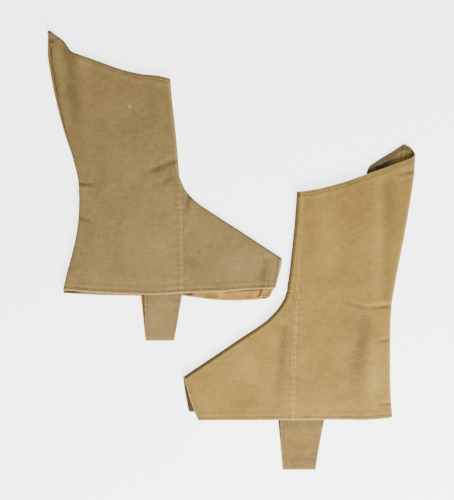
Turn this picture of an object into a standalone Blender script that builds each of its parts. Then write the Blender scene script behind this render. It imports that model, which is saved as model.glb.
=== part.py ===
"""A pair of canvas spats laid flat on a surface, toes pointing away from each other.

Each spat is a flattened tube of woven cotton canvas. The side that faces up lies on the side that
faces down. They meet along the shin and the instep in front and along the back edge, and the tube
is open at the top, at the toe and along the hem. A canvas strap, folded into a loop, hangs from
the hem and goes under the wearer's shoe.

Every spat is drawn in its own frame in millimetres: the origin is the heel corner of the hem, x
runs towards the toe and y up the leg. Heights are above the surface the pair lies on.
"""

import math
from typing import NamedTuple

import bmesh
import bpy

MM = 0.001

WALL = 1.1  # one thickness of canvas with its turnings pressed
SEAM_GAP = 0.3  # between two pieces sewn edge to edge
LAYER_GAP = 0.3  # between two pieces that lie on each other
REST_HEIGHT = 5.2  # outer face of the cloth that faces up, away from edges and folds
EDGE_HEIGHT = 2.4  # where that cloth rolls down onto the under side
ROLL_RADIUS = 6.0  # how far in from an edge the roll starts
PLACKET_EDGE_HEIGHT = 4.1  # where it lies over the closure strip instead
LEG_COLUMNS = 14  # faces across the leg
VAMP_ROWS = 8  # faces from the hem to the instep
STEPS_PER_ROW = 2  # faces between two rows of a table
STRAP_FOLD_STEPS = 6  # faces round the strap's folded end
HEM_FADE = 6  # how fast the hem's own line fades up the leg
TOP_FADE = 8  # how fast the top's own line fades down the leg
APEX_EASE = 0.7  # extra room at the vamp's apex, where both panels roll down

UNDER_TOP = WALL
STRIP_TOP = UNDER_TOP + LAYER_GAP + WALL  # outer face of a strip that lies on the under side


class LegRow(NamedTuple):
    """A line across the leg. It runs from the back edge to the vamp seam or, above it, the shin."""

    back_x: float
    back_y: float
    front_x: float
    front_y: float
    reveal: float  # width of the closure strip that shows beyond the cloth above it
    turn: float  # width of the under side's cloth that comes round the shin onto this side


class LegEdge(NamedTuple):
    """How far the hem and the top stand above the straight line between their ends."""

    share: float
    upper_hem: float
    under_hem: float
    upper_top: float
    under_top: float


class Station(NamedTuple):
    """A line across the vamp, from the hem to the instep."""

    hem_x: float
    hem_y: float
    instep_x: float
    instep_y: float
    bow: float  # how far its middle bulges towards the toe


class StrapRow(NamedTuple):
    """A line across the strap's outer face, from its heel side to its toe side."""

    y: float
    height: float
    heel_x: float
    toe_x: float


class Fold(NamedTuple):
    """A soft trough or ridge in the cloth that faces up, along a straight run."""

    start_x: float
    start_y: float
    end_x: float
    end_y: float
    half_width: float
    height: float


class Wrap(NamedTuple):
    """A line of the cloth that goes round the back fold and ends under the spat."""

    inset: float
    height: float
    top_lift: float


class Strip(NamedTuple):
    """A narrow strip between the two sides, along the leg's back edge."""

    name: str
    inset: float
    width: float
    lowest_row: float
    highest_row: float


class Spat(NamedTuple):
    """Everything that one spat is cut and laid out to."""

    side: str
    heel_x: float
    heel_y: float
    toe_way: int
    colour: tuple
    leg: tuple
    edges: tuple
    upper_vamp: tuple
    under_vamp: tuple
    strap_upper: tuple
    strap_under: tuple
    folds: tuple
    back_wrap: tuple
    strip: Strip
    apex_row: int  # the leg row where the vamp seam reaches the shin


LEFT_SPAT = Spat(
    side="left",
    heel_x=-201.2,
    heel_y=-50.8,
    toe_way=1,
    colour=(0.36, 0.26, 0.14, 1.0),
    leg=(
        #      back_x back_y front_x front_y reveal turn
        LegRow(-0.5, 2, 141, -1, 0, 0),
        LegRow(3.2, 20, 141, 20, 0, 0),
        LegRow(9, 42, 141, 42, 0, 0),
        LegRow(14.6, 66, 140.5, 66, 0, 0),
        LegRow(17.8, 89, 140, 92, 0, 0),
        LegRow(18.6, 109, 139.5, 116, 0, 0),
        LegRow(17.4, 132, 139, 140, 0.5, 0),
        LegRow(11.2, 160, 137.4, 160, 1.5, 0),
        LegRow(0.4, 193, 135.4, 184, 3, 0),
        LegRow(-8.8, 228, 133, 208, 4.5, 0),
        LegRow(-15.6, 262, 130.4, 230, 5.5, 0),
        LegRow(-19.4, 291, 129, 244, 5.5, 0),
        LegRow(-19, 316, 128.4, 256.6, 0, 0),
    ),
    edges=(
        LegEdge(0, 0, -3, 0, -2),
        LegEdge(0.055, -0.3, -3.2, -5.3, -8),
        LegEdge(0.13, -0.6, -3.5, -5.7, -9),
        LegEdge(0.2, -0.9, -3.9, -15.4, -18),
        LegEdge(0.36, -1.6, -4.3, -14.3, -17),
        LegEdge(0.57, -2.4, -4.3, -13, -16),
        LegEdge(0.75, -2.3, -3.9, -9, -12),
        LegEdge(0.9, -1, -3.4, -2.5, -6),
        LegEdge(1, 0, -3, 0, -2),
    ),
    upper_vamp=(
        Station(141, -1, 139, 138.6, 0),
        Station(157, 0, 145, 125, 0),
        Station(175, 0.4, 157, 111, 0),
        Station(200, 1.6, 187, 90, 0),
        Station(222, 3.5, 212, 74, 0),
        Station(240, 4.3, 237, 57.5, 0),
        Station(254.4, 4.8, 261.8, 41.5, 2),
    ),
    under_vamp=(
        Station(141, -4, 139, 138.6, 0),
        Station(157, -6, 145, 125, 0),
        Station(175, -8.5, 157, 111, 0),
        Station(204, -10, 187, 90, 0),
        Station(224, -9.3, 212, 74, 0),
        Station(238, -8.2, 237, 57.5, 0),
        Station(246.8, -6.5, 262.6, 41, 3),
    ),
    strap_upper=(
        StrapRow(14, 3.9, 96.4, 142.6),
        StrapRow(-4, 3.9, 96.8, 142),
        StrapRow(-11, 3.2, 96.9, 140.9),
        StrapRow(-18, 2.6, 97, 139.8),
        StrapRow(-40, 2.6, 97.4, 136.2),
        StrapRow(-57, 2.6, 98.4, 133.2),
    ),
    strap_under=(
        StrapRow(-57, 0, 98, 133),
        StrapRow(-40, 0, 96.2, 136),
        StrapRow(-20, 0, 94.2, 139.6),
        StrapRow(-9, 1.4, 93, 141.4),
        StrapRow(14, 1.4, 92.6, 142.6),
    ),
    folds=(
        Fold(7.6, 288, 14.8, 170, 9, -0.8),
        Fold(133.6, 157, 101, 145, 5, -0.5),
        Fold(150, 114, 141, 95, 7, -0.6),
        Fold(21.5, 131, 36, 131, 5, -0.5),
        Fold(96, 6, 142, 6, 22, 0.4),
    ),
    back_wrap=(),
    strip=Strip("placket", 0, 22, 6, 11),
    apex_row=6,
)

RIGHT_SPAT = Spat(
    side="right",
    heel_x=193.0,
    heel_y=-200.3,
    toe_way=-1,
    colour=(0.45, 0.33, 0.18, 1.0),
    leg=(
        #      back_x back_y front_x front_y reveal turn
        LegRow(-0.4, -0.5, 120, -3.2, 0, 0),
        LegRow(1.2, 24, 119.5, 23, 0, 0),
        LegRow(2, 50, 119, 49, 0, 0),
        LegRow(2, 76, 118.5, 75, 0, 0),
        LegRow(1.8, 103, 117.4, 101, 0, 0),
        LegRow(0.4, 132, 116, 127, 0, 0),
        LegRow(-3.6, 158, 114, 150, 0, 12.5),
        LegRow(-9.4, 189, 112.2, 175, 0, 11),
        LegRow(-15.8, 222, 110.5, 203, 0, 9.6),
        LegRow(-22.6, 262, 108.6, 232, 0, 8.6),
        LegRow(-27, 293, 107.4, 255, 0, 8),
        LegRow(-28, 313, 106.6, 271, 0, 7.6),
    ),
    edges=(
        LegEdge(0, 0, 0.8, 3, 18),
        LegEdge(0.03, -0.4, 0.8, 0, 19),
        LegEdge(0.11, -1.4, 0.8, -1, 19),
        LegEdge(0.24, -2.4, 0.8, -2, 12.5),
        LegEdge(0.41, -1.6, 0.8, -2.9, 4.6),
        LegEdge(0.45, -1.4, 0.8, -3.1, -7),
        LegEdge(0.62, -1, 0.8, -3.9, -9),
        LegEdge(0.82, -0.6, 0.8, -3, -8),
        LegEdge(1, 0, 0.8, 0, -1),
    ),
    upper_vamp=(
        Station(120, -3.2, 114, 149.6, 0),
        Station(131, -3.3, 126.4, 149.6, 0),
        Station(148, -3.6, 135, 133, 0),
        Station(168, -3.8, 150.5, 116.2, 0),
        Station(192, -3.8, 183, 94, 0),
        Station(214, -4, 217, 71, 0),
        Station(232.6, -4.2, 250, 49.2, 1.5),
    ),
    under_vamp=(
        Station(120, -1.7, 114, 149.6, 0),
        Station(131, -1.6, 126.4, 149.6, 0),
        Station(148, -1.2, 135, 133, 0),
        Station(168, 0.4, 150.5, 116.2, 0),
        Station(196, 2.4, 183, 94, 0),
        Station(220, 4.2, 217, 71, 0),
        Station(244, 6, 251, 48.2, 0.5),
    ),
    strap_upper=(
        StrapRow(14, 3.9, 80, 134.5),
        StrapRow(-5, 3.9, 81.5, 134.5),
        StrapRow(-12, 3.2, 82.8, 134.2),
        StrapRow(-19, 2.6, 84.2, 134),
        StrapRow(-40, 2.6, 88, 133),
        StrapRow(-62.4, 2.6, 91.4, 131.2),
    ),
    strap_under=(
        StrapRow(-62.4, 0, 91.6, 131.4),
        StrapRow(-40, 0, 88.4, 133.2),
        StrapRow(-20, 0, 85, 135.2),
        StrapRow(-8, 1.4, 83, 136.4),
        StrapRow(14, 1.4, 82, 137),
    ),
    folds=(
        Fold(0.5, 133, 32.6, 132, 5, -0.6),
        Fold(19, 284, 19, 145, 9, 0.45),
        Fold(35, 95, 38, 30, 11, -0.6),
        Fold(131, 100, 137, 44, 7, -0.7),
        Fold(84, 6, 134, 6, 22, 0.4),
    ),
    back_wrap=(
        Wrap(14, 0, 19.5),
        Wrap(8, 0, 17),
        Wrap(2.5, 0, 10),
        Wrap(0.6, 0.9, 6),
    ),
    strip=Strip("underlap", 46.5, 10, 4, 11),
    apex_row=6,
)


def between(keys, values, at):
    """The value at a key, on a smooth curve through the table that never overshoots a row."""
    last = len(keys) - 1
    at = min(max(at, keys[0]), keys[last])
    i = min(next(n for n in range(last) if at <= keys[n + 1]), last - 1)
    runs = [keys[n + 1] - keys[n] for n in range(last)]
    slopes = [(values[n + 1] - values[n]) / runs[n] for n in range(last)]

    def tangent(n):
        if n in (0, last):
            return slopes[0 if n == 0 else last - 1]
        before, after = slopes[n - 1], slopes[n]
        return 0.0 if before * after <= 0 else 2 * before * after / (before + after)

    t = (at - keys[i]) / runs[i]
    return (
        values[i] * (1 + 2 * t) * (1 - t) ** 2
        + values[i + 1] * t * t * (3 - 2 * t)
        + runs[i] * (tangent(i) * t * (1 - t) ** 2 + tangent(i + 1) * t * t * (t - 1))
    )


def row_at(table, place):
    """A table's row at a fractional row number, every column interpolated."""
    numbers = range(len(table))
    return type(table[0])(*(between(numbers, column, place) for column in zip(*table)))


def edge_at(table, share):
    """The hem's and the top's offsets at a share of the way from back to front."""
    columns = list(zip(*table))
    return LegEdge(*(between(columns[0], column, share) for column in columns))


def distance(path, x, y):
    """How far a point lies from a path of straight runs."""
    nearest = math.inf
    for (ax, ay), (bx, by) in zip(path, path[1:]):
        run_x, run_y = bx - ax, by - ay
        t = ((x - ax) * run_x + (y - ay) * run_y) / (run_x**2 + run_y**2)
        t = min(max(t, 0.0), 1.0)
        nearest = min(nearest, math.hypot(x - ax - t * run_x, y - ay - t * run_y))
    return nearest


def back_path(spat):
    """The back edge of the cloth that faces up, from the hem to the top."""
    return [(row.back_x + row.reveal, row.back_y) for row in spat.leg]


def front_path(spat):
    """The front outline, from the toe along the instep and up the shin."""
    instep = [(station.instep_x, station.instep_y) for station in reversed(spat.upper_vamp)]
    shin = [(row.front_x + row.turn, row.front_y) for row in spat.leg[spat.apex_row + 1 :]]
    return (instep[:-1] if spat.leg[spat.apex_row].turn else instep) + shin


def fallen(gap):
    """How far the cloth has come down, from 1 at an edge to 0 where its roll starts."""
    reach = min(gap / ROLL_RADIUS, 1.0)
    return 1 - math.sqrt(1 - (1 - reach) ** 2)


def upper_height(spat, x, y):
    """Height of the outer face of the cloth that faces up."""
    height = REST_HEIGHT
    for fold in spat.folds:
        run = [(fold.start_x, fold.start_y), (fold.end_x, fold.end_y)]
        height += fold.height * math.exp(-((distance(run, x, y) / fold.half_width) ** 2))
    back_edge = EDGE_HEIGHT if spat.back_wrap else PLACKET_EDGE_HEIGHT
    full = height
    height -= (full - EDGE_HEIGHT) * fallen(distance(front_path(spat), x, y))
    height -= (full - back_edge) * fallen(distance(back_path(spat), x, y))
    return max(height, EDGE_HEIGHT)


def leg_line_point(spat, place, share, hem_lift, top_lift):
    """A point on a line across the leg, moved by the hem's or the top's own lift near that end."""
    row = row_at(spat.leg, place)
    climb = place / (len(spat.leg) - 1)
    x = row.back_x + share * (row.front_x - row.back_x)
    y = row.back_y + share * (row.front_y - row.back_y)
    return x, y + hem_lift * (1 - climb) ** HEM_FADE + top_lift * climb**TOP_FADE


def leg_point(spat, place, share, upper):
    """A point of the leg, at a row number and a share of the way from its back to its front."""
    edge = edge_at(spat.edges, share)
    if upper:
        return leg_line_point(spat, place, share, edge.upper_hem, edge.upper_top)
    return leg_line_point(spat, place, share, edge.under_hem, edge.under_top)


def leg_share(spat, place, inset):
    """The share of the way across the leg at a distance in from the back edge."""
    row = row_at(spat.leg, place)
    return inset / (row.front_x - row.back_x)


def close_to_ends(count):
    """Shares from 0 to 1, closer together near both ends."""
    return [(1 - math.cos(math.pi * i / count)) / 2 for i in range(count + 1)]


def close_to_far_end(count):
    """Shares from 0 to 1, closer together near 1."""
    return [math.sin(math.pi / 2 * i / count) for i in range(count + 1)]


def row_places(first, last):
    """Row numbers from one table row to another, with the steps between them."""
    steps = round((last - first) * STEPS_PER_ROW)
    return [first + i / STEPS_PER_ROW for i in range(steps + 1)]


def canvas(spat, name):
    """The plain canvas colour of one piece."""
    material = bpy.data.materials.new(f"{spat.side}_{name}_canvas")
    material.use_nodes = True
    surface = material.node_tree.nodes["Principled BSDF"]
    surface.inputs["Base Color"].default_value = spat.colour
    surface.inputs["Roughness"].default_value = 0.9
    surface.inputs["Metallic"].default_value = 0.0
    return material


def sheet(spat, name, lines, faces_up, keep=None):
    """A canvas piece from the lines of its outer face, with its wall on the inner side.

    Each line holds the same number of points. keep(line, point) says which faces are cloth.
    """
    mesh = bpy.data.meshes.new(f"{spat.side}_{name}")
    cloth = bmesh.new()
    across = len(lines[0]) - 1
    up = len(lines) - 1
    bmesh.ops.create_grid(cloth, x_segments=across, y_segments=up, size=1)
    numbered = {}
    for vert in cloth.verts:
        number = round((vert.co.x + 1) / 2 * across), round((vert.co.y + 1) / 2 * up)
        numbered[vert] = number
        x, y, height = lines[number[1]][number[0]]
        vert.co = (
            (spat.heel_x + spat.toe_way * x) * MM,
            (spat.heel_y + y) * MM,
            height * MM,
        )
    if keep:
        spare = [
            face
            for face in cloth.faces
            if not keep(
                min(numbered[vert][1] for vert in face.verts),
                min(numbered[vert][0] for vert in face.verts),
            )
        ]
        bmesh.ops.delete(cloth, geom=spare, context="FACES")
    cloth.normal_update()
    outermost = (max if faces_up else min)(
        cloth.faces, key=lambda face: face.calc_center_median().z
    )
    if (outermost.normal.z > 0) != faces_up:
        bmesh.ops.reverse_faces(cloth, faces=cloth.faces[:])
    cloth.to_mesh(mesh)
    cloth.free()
    mesh.shade_smooth()
    piece = bpy.data.objects.new(f"{spat.side}_{name}", mesh)
    piece.data.materials.append(canvas(spat, name))
    wall = piece.modifiers.new("wall", "SOLIDIFY")
    wall.thickness = WALL * MM
    wall.offset = -1
    wall.use_even_offset = True
    return piece


def upper_leg(spat):
    """The leg panel that faces up. Round a back fold it goes on under the spat."""
    last_row = len(spat.leg) - 1
    lines = []
    for place in row_places(0, last_row):
        row = row_at(spat.leg, place)
        line = []
        for wrap in spat.back_wrap:
            share = leg_share(spat, place, wrap.inset)
            x, y = leg_line_point(spat, place, share, 0, wrap.top_lift)
            line.append((x, y, wrap.height))
        start = leg_share(spat, place, row.reveal)
        end = 1 - leg_share(spat, place, SEAM_GAP / 2)
        for share in close_to_ends(LEG_COLUMNS):
            x, y = leg_point(spat, place, start + share * (end - start), upper=True)
            line.append((x, y, upper_height(spat, x, y)))
        lines.append(line)
    return sheet(spat, "leg_upper", lines, faces_up=True)


def under_leg(spat):
    """The leg panel that lies on the surface. Where it turns round the shin, it ends at the seam."""
    last_row = len(spat.leg) - 1
    first = spat.back_wrap[0].inset + SEAM_GAP if spat.back_wrap else 0
    turned = any(row.turn for row in spat.leg)
    lines = []
    for place in row_places(0, last_row):
        row = row_at(spat.leg, place)
        start = leg_share(spat, place, first)
        end = 1 - leg_share(spat, place, SEAM_GAP / 2)
        line = []
        for i in range(LEG_COLUMNS + 1):
            x, y = leg_point(spat, place, start + (end - start) * i / LEG_COLUMNS, upper=False)
            line.append((x, y, 0))
        if turned:
            _, seam_y = leg_point(spat, place, 1, upper=True)
            shin_x = row.front_x + max(row.turn, WALL * 4)
            line.append((shin_x - 2.5, seam_y, 0))
            line.append((shin_x - 0.6, seam_y, 0.9))
            seam_x = row.front_x + SEAM_GAP / 2
            for share in (0, 0.15, 0.5, 1):
                x = shin_x + share * (seam_x - shin_x)
                line.append((x, seam_y, upper_height(spat, x, seam_y)))
        lines.append(line)
    apex_line = spat.apex_row * STEPS_PER_ROW

    def is_cloth(line, point):
        return point < LEG_COLUMNS or line >= apex_line

    return sheet(spat, "leg_under", lines, faces_up=False, keep=is_cloth)


def seam_x(spat, y, upper):
    """Where the seam between leg and vamp lies at a height up the leg."""
    seam = [leg_point(spat, place, 1, upper) for place in row_places(0, spat.apex_row)]
    below, above = next(
        (pair for pair in zip(seam, seam[1:]) if y <= pair[1][1]), (seam[-2], seam[-1])
    )
    return below[0] + (y - below[1]) * (above[0] - below[0]) / (above[1] - below[1])


def vamp(spat, name, table, upper):
    """A vamp panel, from the leg seam to the toe opening."""
    last_column = len(table) - 1
    lines = []
    for rise in close_to_far_end(VAMP_ROWS):
        line = []
        for place in row_places(0, last_column):
            station = row_at(table, place)
            x = station.hem_x + rise * (station.instep_x - station.hem_x)
            x += 4 * station.bow * rise * (1 - rise)
            y = station.hem_y + rise * (station.instep_y - station.hem_y)
            if place == 0:
                x = seam_x(spat, y, upper) + SEAM_GAP / 2 + APEX_EASE * rise**TOP_FADE
            line.append((x, y, upper_height(spat, x, y) if upper else 0))
        lines.append(line)
    return sheet(spat, name, lines, faces_up=upper)


def strap_fold(above, below):
    """The lines round the strap's end, from its upper layer to its under layer."""
    radius = (above.height - below.height) / 2
    rows = []
    for i in range(1, STRAP_FOLD_STEPS):
        turned = i / STRAP_FOLD_STEPS
        out = radius * math.sin(math.pi * turned)
        height = below.height + radius * (1 + math.cos(math.pi * turned))
        heel_x = above.heel_x + turned * (below.heel_x - above.heel_x)
        toe_x = above.toe_x + turned * (below.toe_x - above.toe_x)
        rows.append(StrapRow(above.y - out, height, heel_x, toe_x))
    return rows


def instep_strap(spat):
    """The strap, folded into a loop, with both ends between the two sides at the hem."""
    fold = strap_fold(spat.strap_upper[-1], spat.strap_under[0])
    rows = [*spat.strap_upper, *fold, *spat.strap_under]
    lines = [[(row.heel_x, row.y, row.height), (row.toe_x, row.y, row.height)] for row in rows]
    return sheet(spat, "strap", lines, faces_up=True)


def closure_strip(spat):
    """The closure's strip, which lies on the under side."""
    strip = spat.strip
    lines = []
    for place in row_places(strip.lowest_row, strip.highest_row):
        line = []
        for inset in (strip.inset, strip.inset + strip.width):
            x, y = leg_point(spat, place, leg_share(spat, place, inset), upper=False)
            line.append((x, y, STRIP_TOP))
        lines.append(line)
    return sheet(spat, strip.name, lines, faces_up=True)


def build(spat):
    """Every piece of one spat."""
    return [
        upper_leg(spat),
        vamp(spat, "vamp_upper", spat.upper_vamp, upper=True),
        under_leg(spat),
        vamp(spat, "vamp_under", spat.under_vamp, upper=False),
        closure_strip(spat),
        instep_strap(spat),
    ]


def clear_scene():
    for old in list(bpy.data.objects):
        bpy.data.objects.remove(old, do_unlink=True)


def centre(pieces):
    """Moves the pair so that the origin is under the middle of its box."""
    points = [vert.co for piece in pieces for vert in piece.data.vertices]
    middle_x = (min(p.x for p in points) + max(p.x for p in points)) / 2
    middle_y = (min(p.y for p in points) + max(p.y for p in points)) / 2
    for point in points:
        point.x -= middle_x
        point.y -= middle_y


def main():
    clear_scene()
    collection = bpy.data.collections.new("pair_of_spats")
    bpy.context.scene.collection.children.link(collection)
    pieces = build(LEFT_SPAT) + build(RIGHT_SPAT)
    centre(pieces)
    for piece in pieces:
        collection.objects.link(piece)


main()
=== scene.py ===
"""The looks of a pair of canvas spats laid flat: cloth, thread and studio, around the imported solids.

Each spat is worked out in its own frame in millimetres, as its pattern was cut. The origin is the
heel corner of the hem, x runs towards the toe and y up the leg. Heights are above the surface.
"""

import logging
import math
from collections.abc import Callable, Sequence
from dataclasses import dataclass, field
from enum import Enum
from typing import Any, NamedTuple

import bmesh
import bpy
import numpy as np
from mathutils import Matrix, Vector


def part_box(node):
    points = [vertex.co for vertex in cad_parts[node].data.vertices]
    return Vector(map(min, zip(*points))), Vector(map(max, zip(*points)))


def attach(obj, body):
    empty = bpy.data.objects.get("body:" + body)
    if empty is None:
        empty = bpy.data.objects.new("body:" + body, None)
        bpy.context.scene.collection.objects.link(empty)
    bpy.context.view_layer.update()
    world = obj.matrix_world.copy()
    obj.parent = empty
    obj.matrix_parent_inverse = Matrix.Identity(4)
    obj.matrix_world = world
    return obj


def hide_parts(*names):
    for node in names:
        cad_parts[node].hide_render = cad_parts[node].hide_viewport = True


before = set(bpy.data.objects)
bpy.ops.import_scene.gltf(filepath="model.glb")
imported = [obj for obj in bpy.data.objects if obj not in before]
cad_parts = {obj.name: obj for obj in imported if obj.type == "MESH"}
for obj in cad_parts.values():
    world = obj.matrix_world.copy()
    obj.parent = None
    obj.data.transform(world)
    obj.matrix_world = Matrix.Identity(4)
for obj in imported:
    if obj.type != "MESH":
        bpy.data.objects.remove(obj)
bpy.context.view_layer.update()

LOG = logging.getLogger("spats")
MM = 0.001

CLOTH_WALL = 0.75  # one thickness of canvas, pressed
HEM_RADIUS = 0.85  # of the fold at a turned edge
TURNING = 9.0  # cloth folded to the inside at a turned edge
REST_HEIGHT = 5.15  # outer face of the cloth that faces up, away from edges and folds
EDGE_HEIGHT = 1.75  # where that cloth rolls down to its seam with the under side
PLACKET_EDGE_HEIGHT = 4.1  # where it lies over the closure strip instead
FLOAT_HEIGHT = 0.32  # how far the under side stands off the surface between its seams
SEAM_HALF_WIDTH = 2.7  # of the felled seam between leg and vamp
SEAM_RISE = 0.24  # how far the felled seam stands above the cloth
STITCH_OFFSET = 2.4  # of each stitch row from the middle of the felled seam
HEM_STITCH_INSET = 3.8  # of the stitch row from a turned edge
SEAM_GAP = 0.03  # between two panels at their seam
BACK_LAP = 2.5  # how far the under side's cloth laps inside the cloth that comes round the back fold
TOE_LAP = 5.0  # how far the hem's turning runs on under the toe edge's
MOTTLE = 7.0  # how much the wrong side is streaked beside the right one
MERGE = 0.002  # points this close are one
LAP_GAP = 0.12  # between the faces of cloth where one laps inside another
TOE_RAISE = 0.3  # of the toe edge's turning over the hem's
STRIP_HEIGHT = 2.45  # of the closure strip's outer face
THREAD_RISE = 0.04  # of a thread's middle above the upper cloth
UNDER_THREAD_HEIGHT = 0.42  # of a thread's middle on the under side
LEG_ROLL_FADE = 60  # how fast the leg's own roll at hem and top fades inwards
VAMP_ROLL_FADE = 40  # how fast the vamp's own roll at hem and toe fades inwards
SEAM_FADE = 5  # how fast the vamp's seam line fades towards the toe
CROWDING = 9.0  # how much closer lines lie at a crowded end
CROWDED_LINES = 6  # over how many lines that fades
LOWEST = 0.04  # of the cloth's outer face where it touches the surface
UNDER_LOWEST = 0.06  # of the under leg's outer face along its felled seam
UNDER_RIM = 0.12  # of the under side's outer face elsewhere
FOLD_RADIUS = 2.4  # of the folds at the back and the shin, seen from above
STRAP_TOP_ROWS = 6  # of the strap's rows, those on its upper layer
STRAP_END_ROW = 7  # the strap's row at its folded end
STRAP_STITCH_INSET = 2.6  # of the stitch rows from the strap's sides
BACK_ROLL = 4.5  # how far in from the back edge the upper cloth starts to roll down
ROPING_WAVE = 0.86  # of the puckers along the vamp seam, in radians a millimetre
INNER_DROP = 0.4  # from this drop on, a turned edge shows its inner side
HEM_FADE = 6  # how fast the hem's own line fades up the leg
TOP_FADE = 8  # how fast the top's own line fades down the leg


class Layer(Enum):
    """Which side of the flattened tube a piece is on."""

    UPPER = "upper"
    UNDER = "under"


class LegRow(NamedTuple):
    """A line across the leg, from its back edge to the vamp seam or, above it, the shin."""

    back_x: float
    back_y: float
    front_x: float
    front_y: float
    reveal: float  # width of the closure strip that shows beyond the cloth above it
    turn: float  # width of the under side's cloth that comes round the shin onto this side
    lap: float  # how far the leg's cloth laps over the vamp


class EdgeRow(NamedTuple):
    """How far the hem and the top stand above the straight line between their ends."""

    share: float
    upper_hem: float
    under_hem: float
    upper_top: float
    under_top: float


class Station(NamedTuple):
    """A line across the vamp, from the hem to the instep."""

    hem_x: float
    hem_y: float
    instep_x: float
    instep_y: float
    bow: float  # how far its middle bulges towards the toe


class StrapRow(NamedTuple):
    """A line across the strap's outer face, from its heel side to its toe side."""

    y: float
    height: float
    heel_x: float
    toe_x: float


class Crease(NamedTuple):
    """A soft trough or ridge along a straight run. Its height fades to a share of itself."""

    start_x: float
    start_y: float
    end_x: float
    end_y: float
    half_width: float
    height: float
    fade: float


class Patch(NamedTuple):
    """A round place where the cloth is darker or lighter. Some of the inside ones are painted shade; the
    rest are the cloth's own tone.
    """

    x: float
    y: float
    radius: float
    tone: float


class Cut(NamedTuple):
    """A sheet's cut in metres, how it lies, and the stitches that go with it."""

    width: float
    length: float
    area: float
    held: str
    thread: str = ""


# ---------------------------------------------------------------- small maths


def smooth(keys: Sequence[float], values: Sequence[float], at: np.ndarray) -> np.ndarray:
    """Reads a smooth curve through a table that never overshoots a row.

    Args:
        keys: the table's keys, rising.
        values: the value at each key.
        at: where the curve is read; beyond the table it stays level.

    Returns:
        The curve's values.
    """
    key, value = np.asarray(keys, float), np.asarray(values, float)
    runs = np.diff(key)
    slopes = np.diff(value) / runs
    tangents = np.concatenate([slopes[:1], np.zeros(len(key) - 2), slopes[-1:]])
    before, after = slopes[:-1], slopes[1:]
    same_way = before * after > 0
    inner = tangents[1:-1]
    inner[same_way] = (2 * before * after)[same_way] / (before + after)[same_way]
    at = np.clip(at, key[0], key[-1])
    i = np.clip(np.searchsorted(key, at, side="right") - 1, 0, len(key) - 2)
    t = (at - key[i]) / runs[i]
    return (
        value[i] * (1 + 2 * t) * (1 - t) ** 2
        + value[i + 1] * t * t * (3 - 2 * t)
        + runs[i] * (tangents[i] * t * (1 - t) ** 2 + tangents[i + 1] * t * t * (t - 1))
    )


def smooth_row(table: Sequence[Any], place: np.ndarray) -> Any:
    """Reads every column of a table at fractional row numbers.

    Args:
        table: rows of one named tuple.
        place: fractional row numbers.

    Returns:
        The same named tuple, holding an array in each column.
    """
    numbers = range(len(table))
    return type(table[0])(*(smooth(numbers, column, place) for column in zip(*table)))


def path_distance(path: np.ndarray, x: np.ndarray, y: np.ndarray) -> np.ndarray:
    """Measures how far points lie from a path of straight runs.

    Args:
        path: the path's points, one row each.
        x: across, in the spat's frame.
        y: up the leg.

    Returns:
        The distances.
    """
    nearest = np.full(np.shape(x), np.inf)
    for start, end in zip(path, path[1:]):
        run = end - start
        t = ((x - start[0]) * run[0] + (y - start[1]) * run[1]) / (run @ run)
        t = np.clip(t, 0, 1)
        gap = np.hypot(x - start[0] - t * run[0], y - start[1] - t * run[1])
        nearest = np.minimum(nearest, gap)
    return nearest


def fallen(gap: np.ndarray, radius: float) -> np.ndarray:
    """How far cloth has come down round an edge, from 1 at the edge to 0 from the radius on."""
    reach = np.clip(gap / radius, 0, 1)
    return 1 - np.sqrt(1 - (1 - reach) ** 2)


def hump(gap: np.ndarray, half_width: float) -> np.ndarray:
    """A soft hump, 1 in its middle."""
    return np.exp(-((gap / half_width) ** 2))


def step_down(gap: np.ndarray, edge: float, softness: float) -> np.ndarray:
    """A soft step from 1 inside an edge to 0 outside it."""
    return 0.5 - 0.5 * np.tanh((gap - edge) / softness)


def edge_packed(count: int, start_share: float, end_share: float) -> np.ndarray:
    """Shares from 0 to 1, packed closer near the ends that ask for it.

    Args:
        count: number of steps.
        start_share: how strongly they crowd near 0, from 0 to 1.
        end_share: how strongly they crowd near 1, from 0 to 1.

    Returns:
        count + 1 shares.
    """
    t = np.linspace(0, 1, count + 1)
    at_start = start_share * np.exp(-t * count / CROWDED_LINES)
    at_end = end_share * np.exp((t - 1) * count / CROWDED_LINES)
    density = 1 + CROWDING * (at_start + at_end)
    steps = 1 / (0.5 * (density[1:] + density[:-1]))
    return np.concatenate([[0], np.cumsum(steps) / steps.sum()])


def new_object(name: str, shape: bmesh.types.BMesh, *coats: bpy.types.Material) -> bpy.types.Object:
    """Turns a finished bmesh into an object of the scene.

    Args:
        name: of the object and its mesh.
        shape: the bmesh, which is freed.
        coats: its materials.

    Returns:
        The object, with smooth shading.
    """
    mesh = bpy.data.meshes.new(name)
    shape.to_mesh(mesh)
    shape.free()
    mesh.shade_smooth()
    made = bpy.data.objects.new(name, mesh)
    bpy.context.scene.collection.objects.link(made)
    for coat in coats:
        mesh.materials.append(coat)
    return made


@dataclass(frozen=True)
class Ripple:
    """Fine unevenness of cloth: a few crossing waves, the same ones each time."""

    seed: int
    shortest: float
    longest: float
    height: float
    waves: int = 14

    def at(self, x: np.ndarray, y: np.ndarray) -> np.ndarray:
        """Reads the unevenness at points of the spat's frame.

        Args:
            x: across.
            y: up the leg.

        Returns:
            Heights, mostly within the ripple's own height.
        """
        draw = np.random.default_rng(self.seed)
        total = np.zeros(np.shape(x))
        for _ in range(self.waves):
            length = draw.uniform(self.shortest, self.longest)
            angle, phase = draw.uniform(0, math.tau, 2)
            along = x * math.cos(angle) + y * math.sin(angle)
            total += np.sin(math.tau * along / length + phase)
        return self.height * total / math.sqrt(self.waves)


# ---------------------------------------------------------------- finishes


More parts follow.
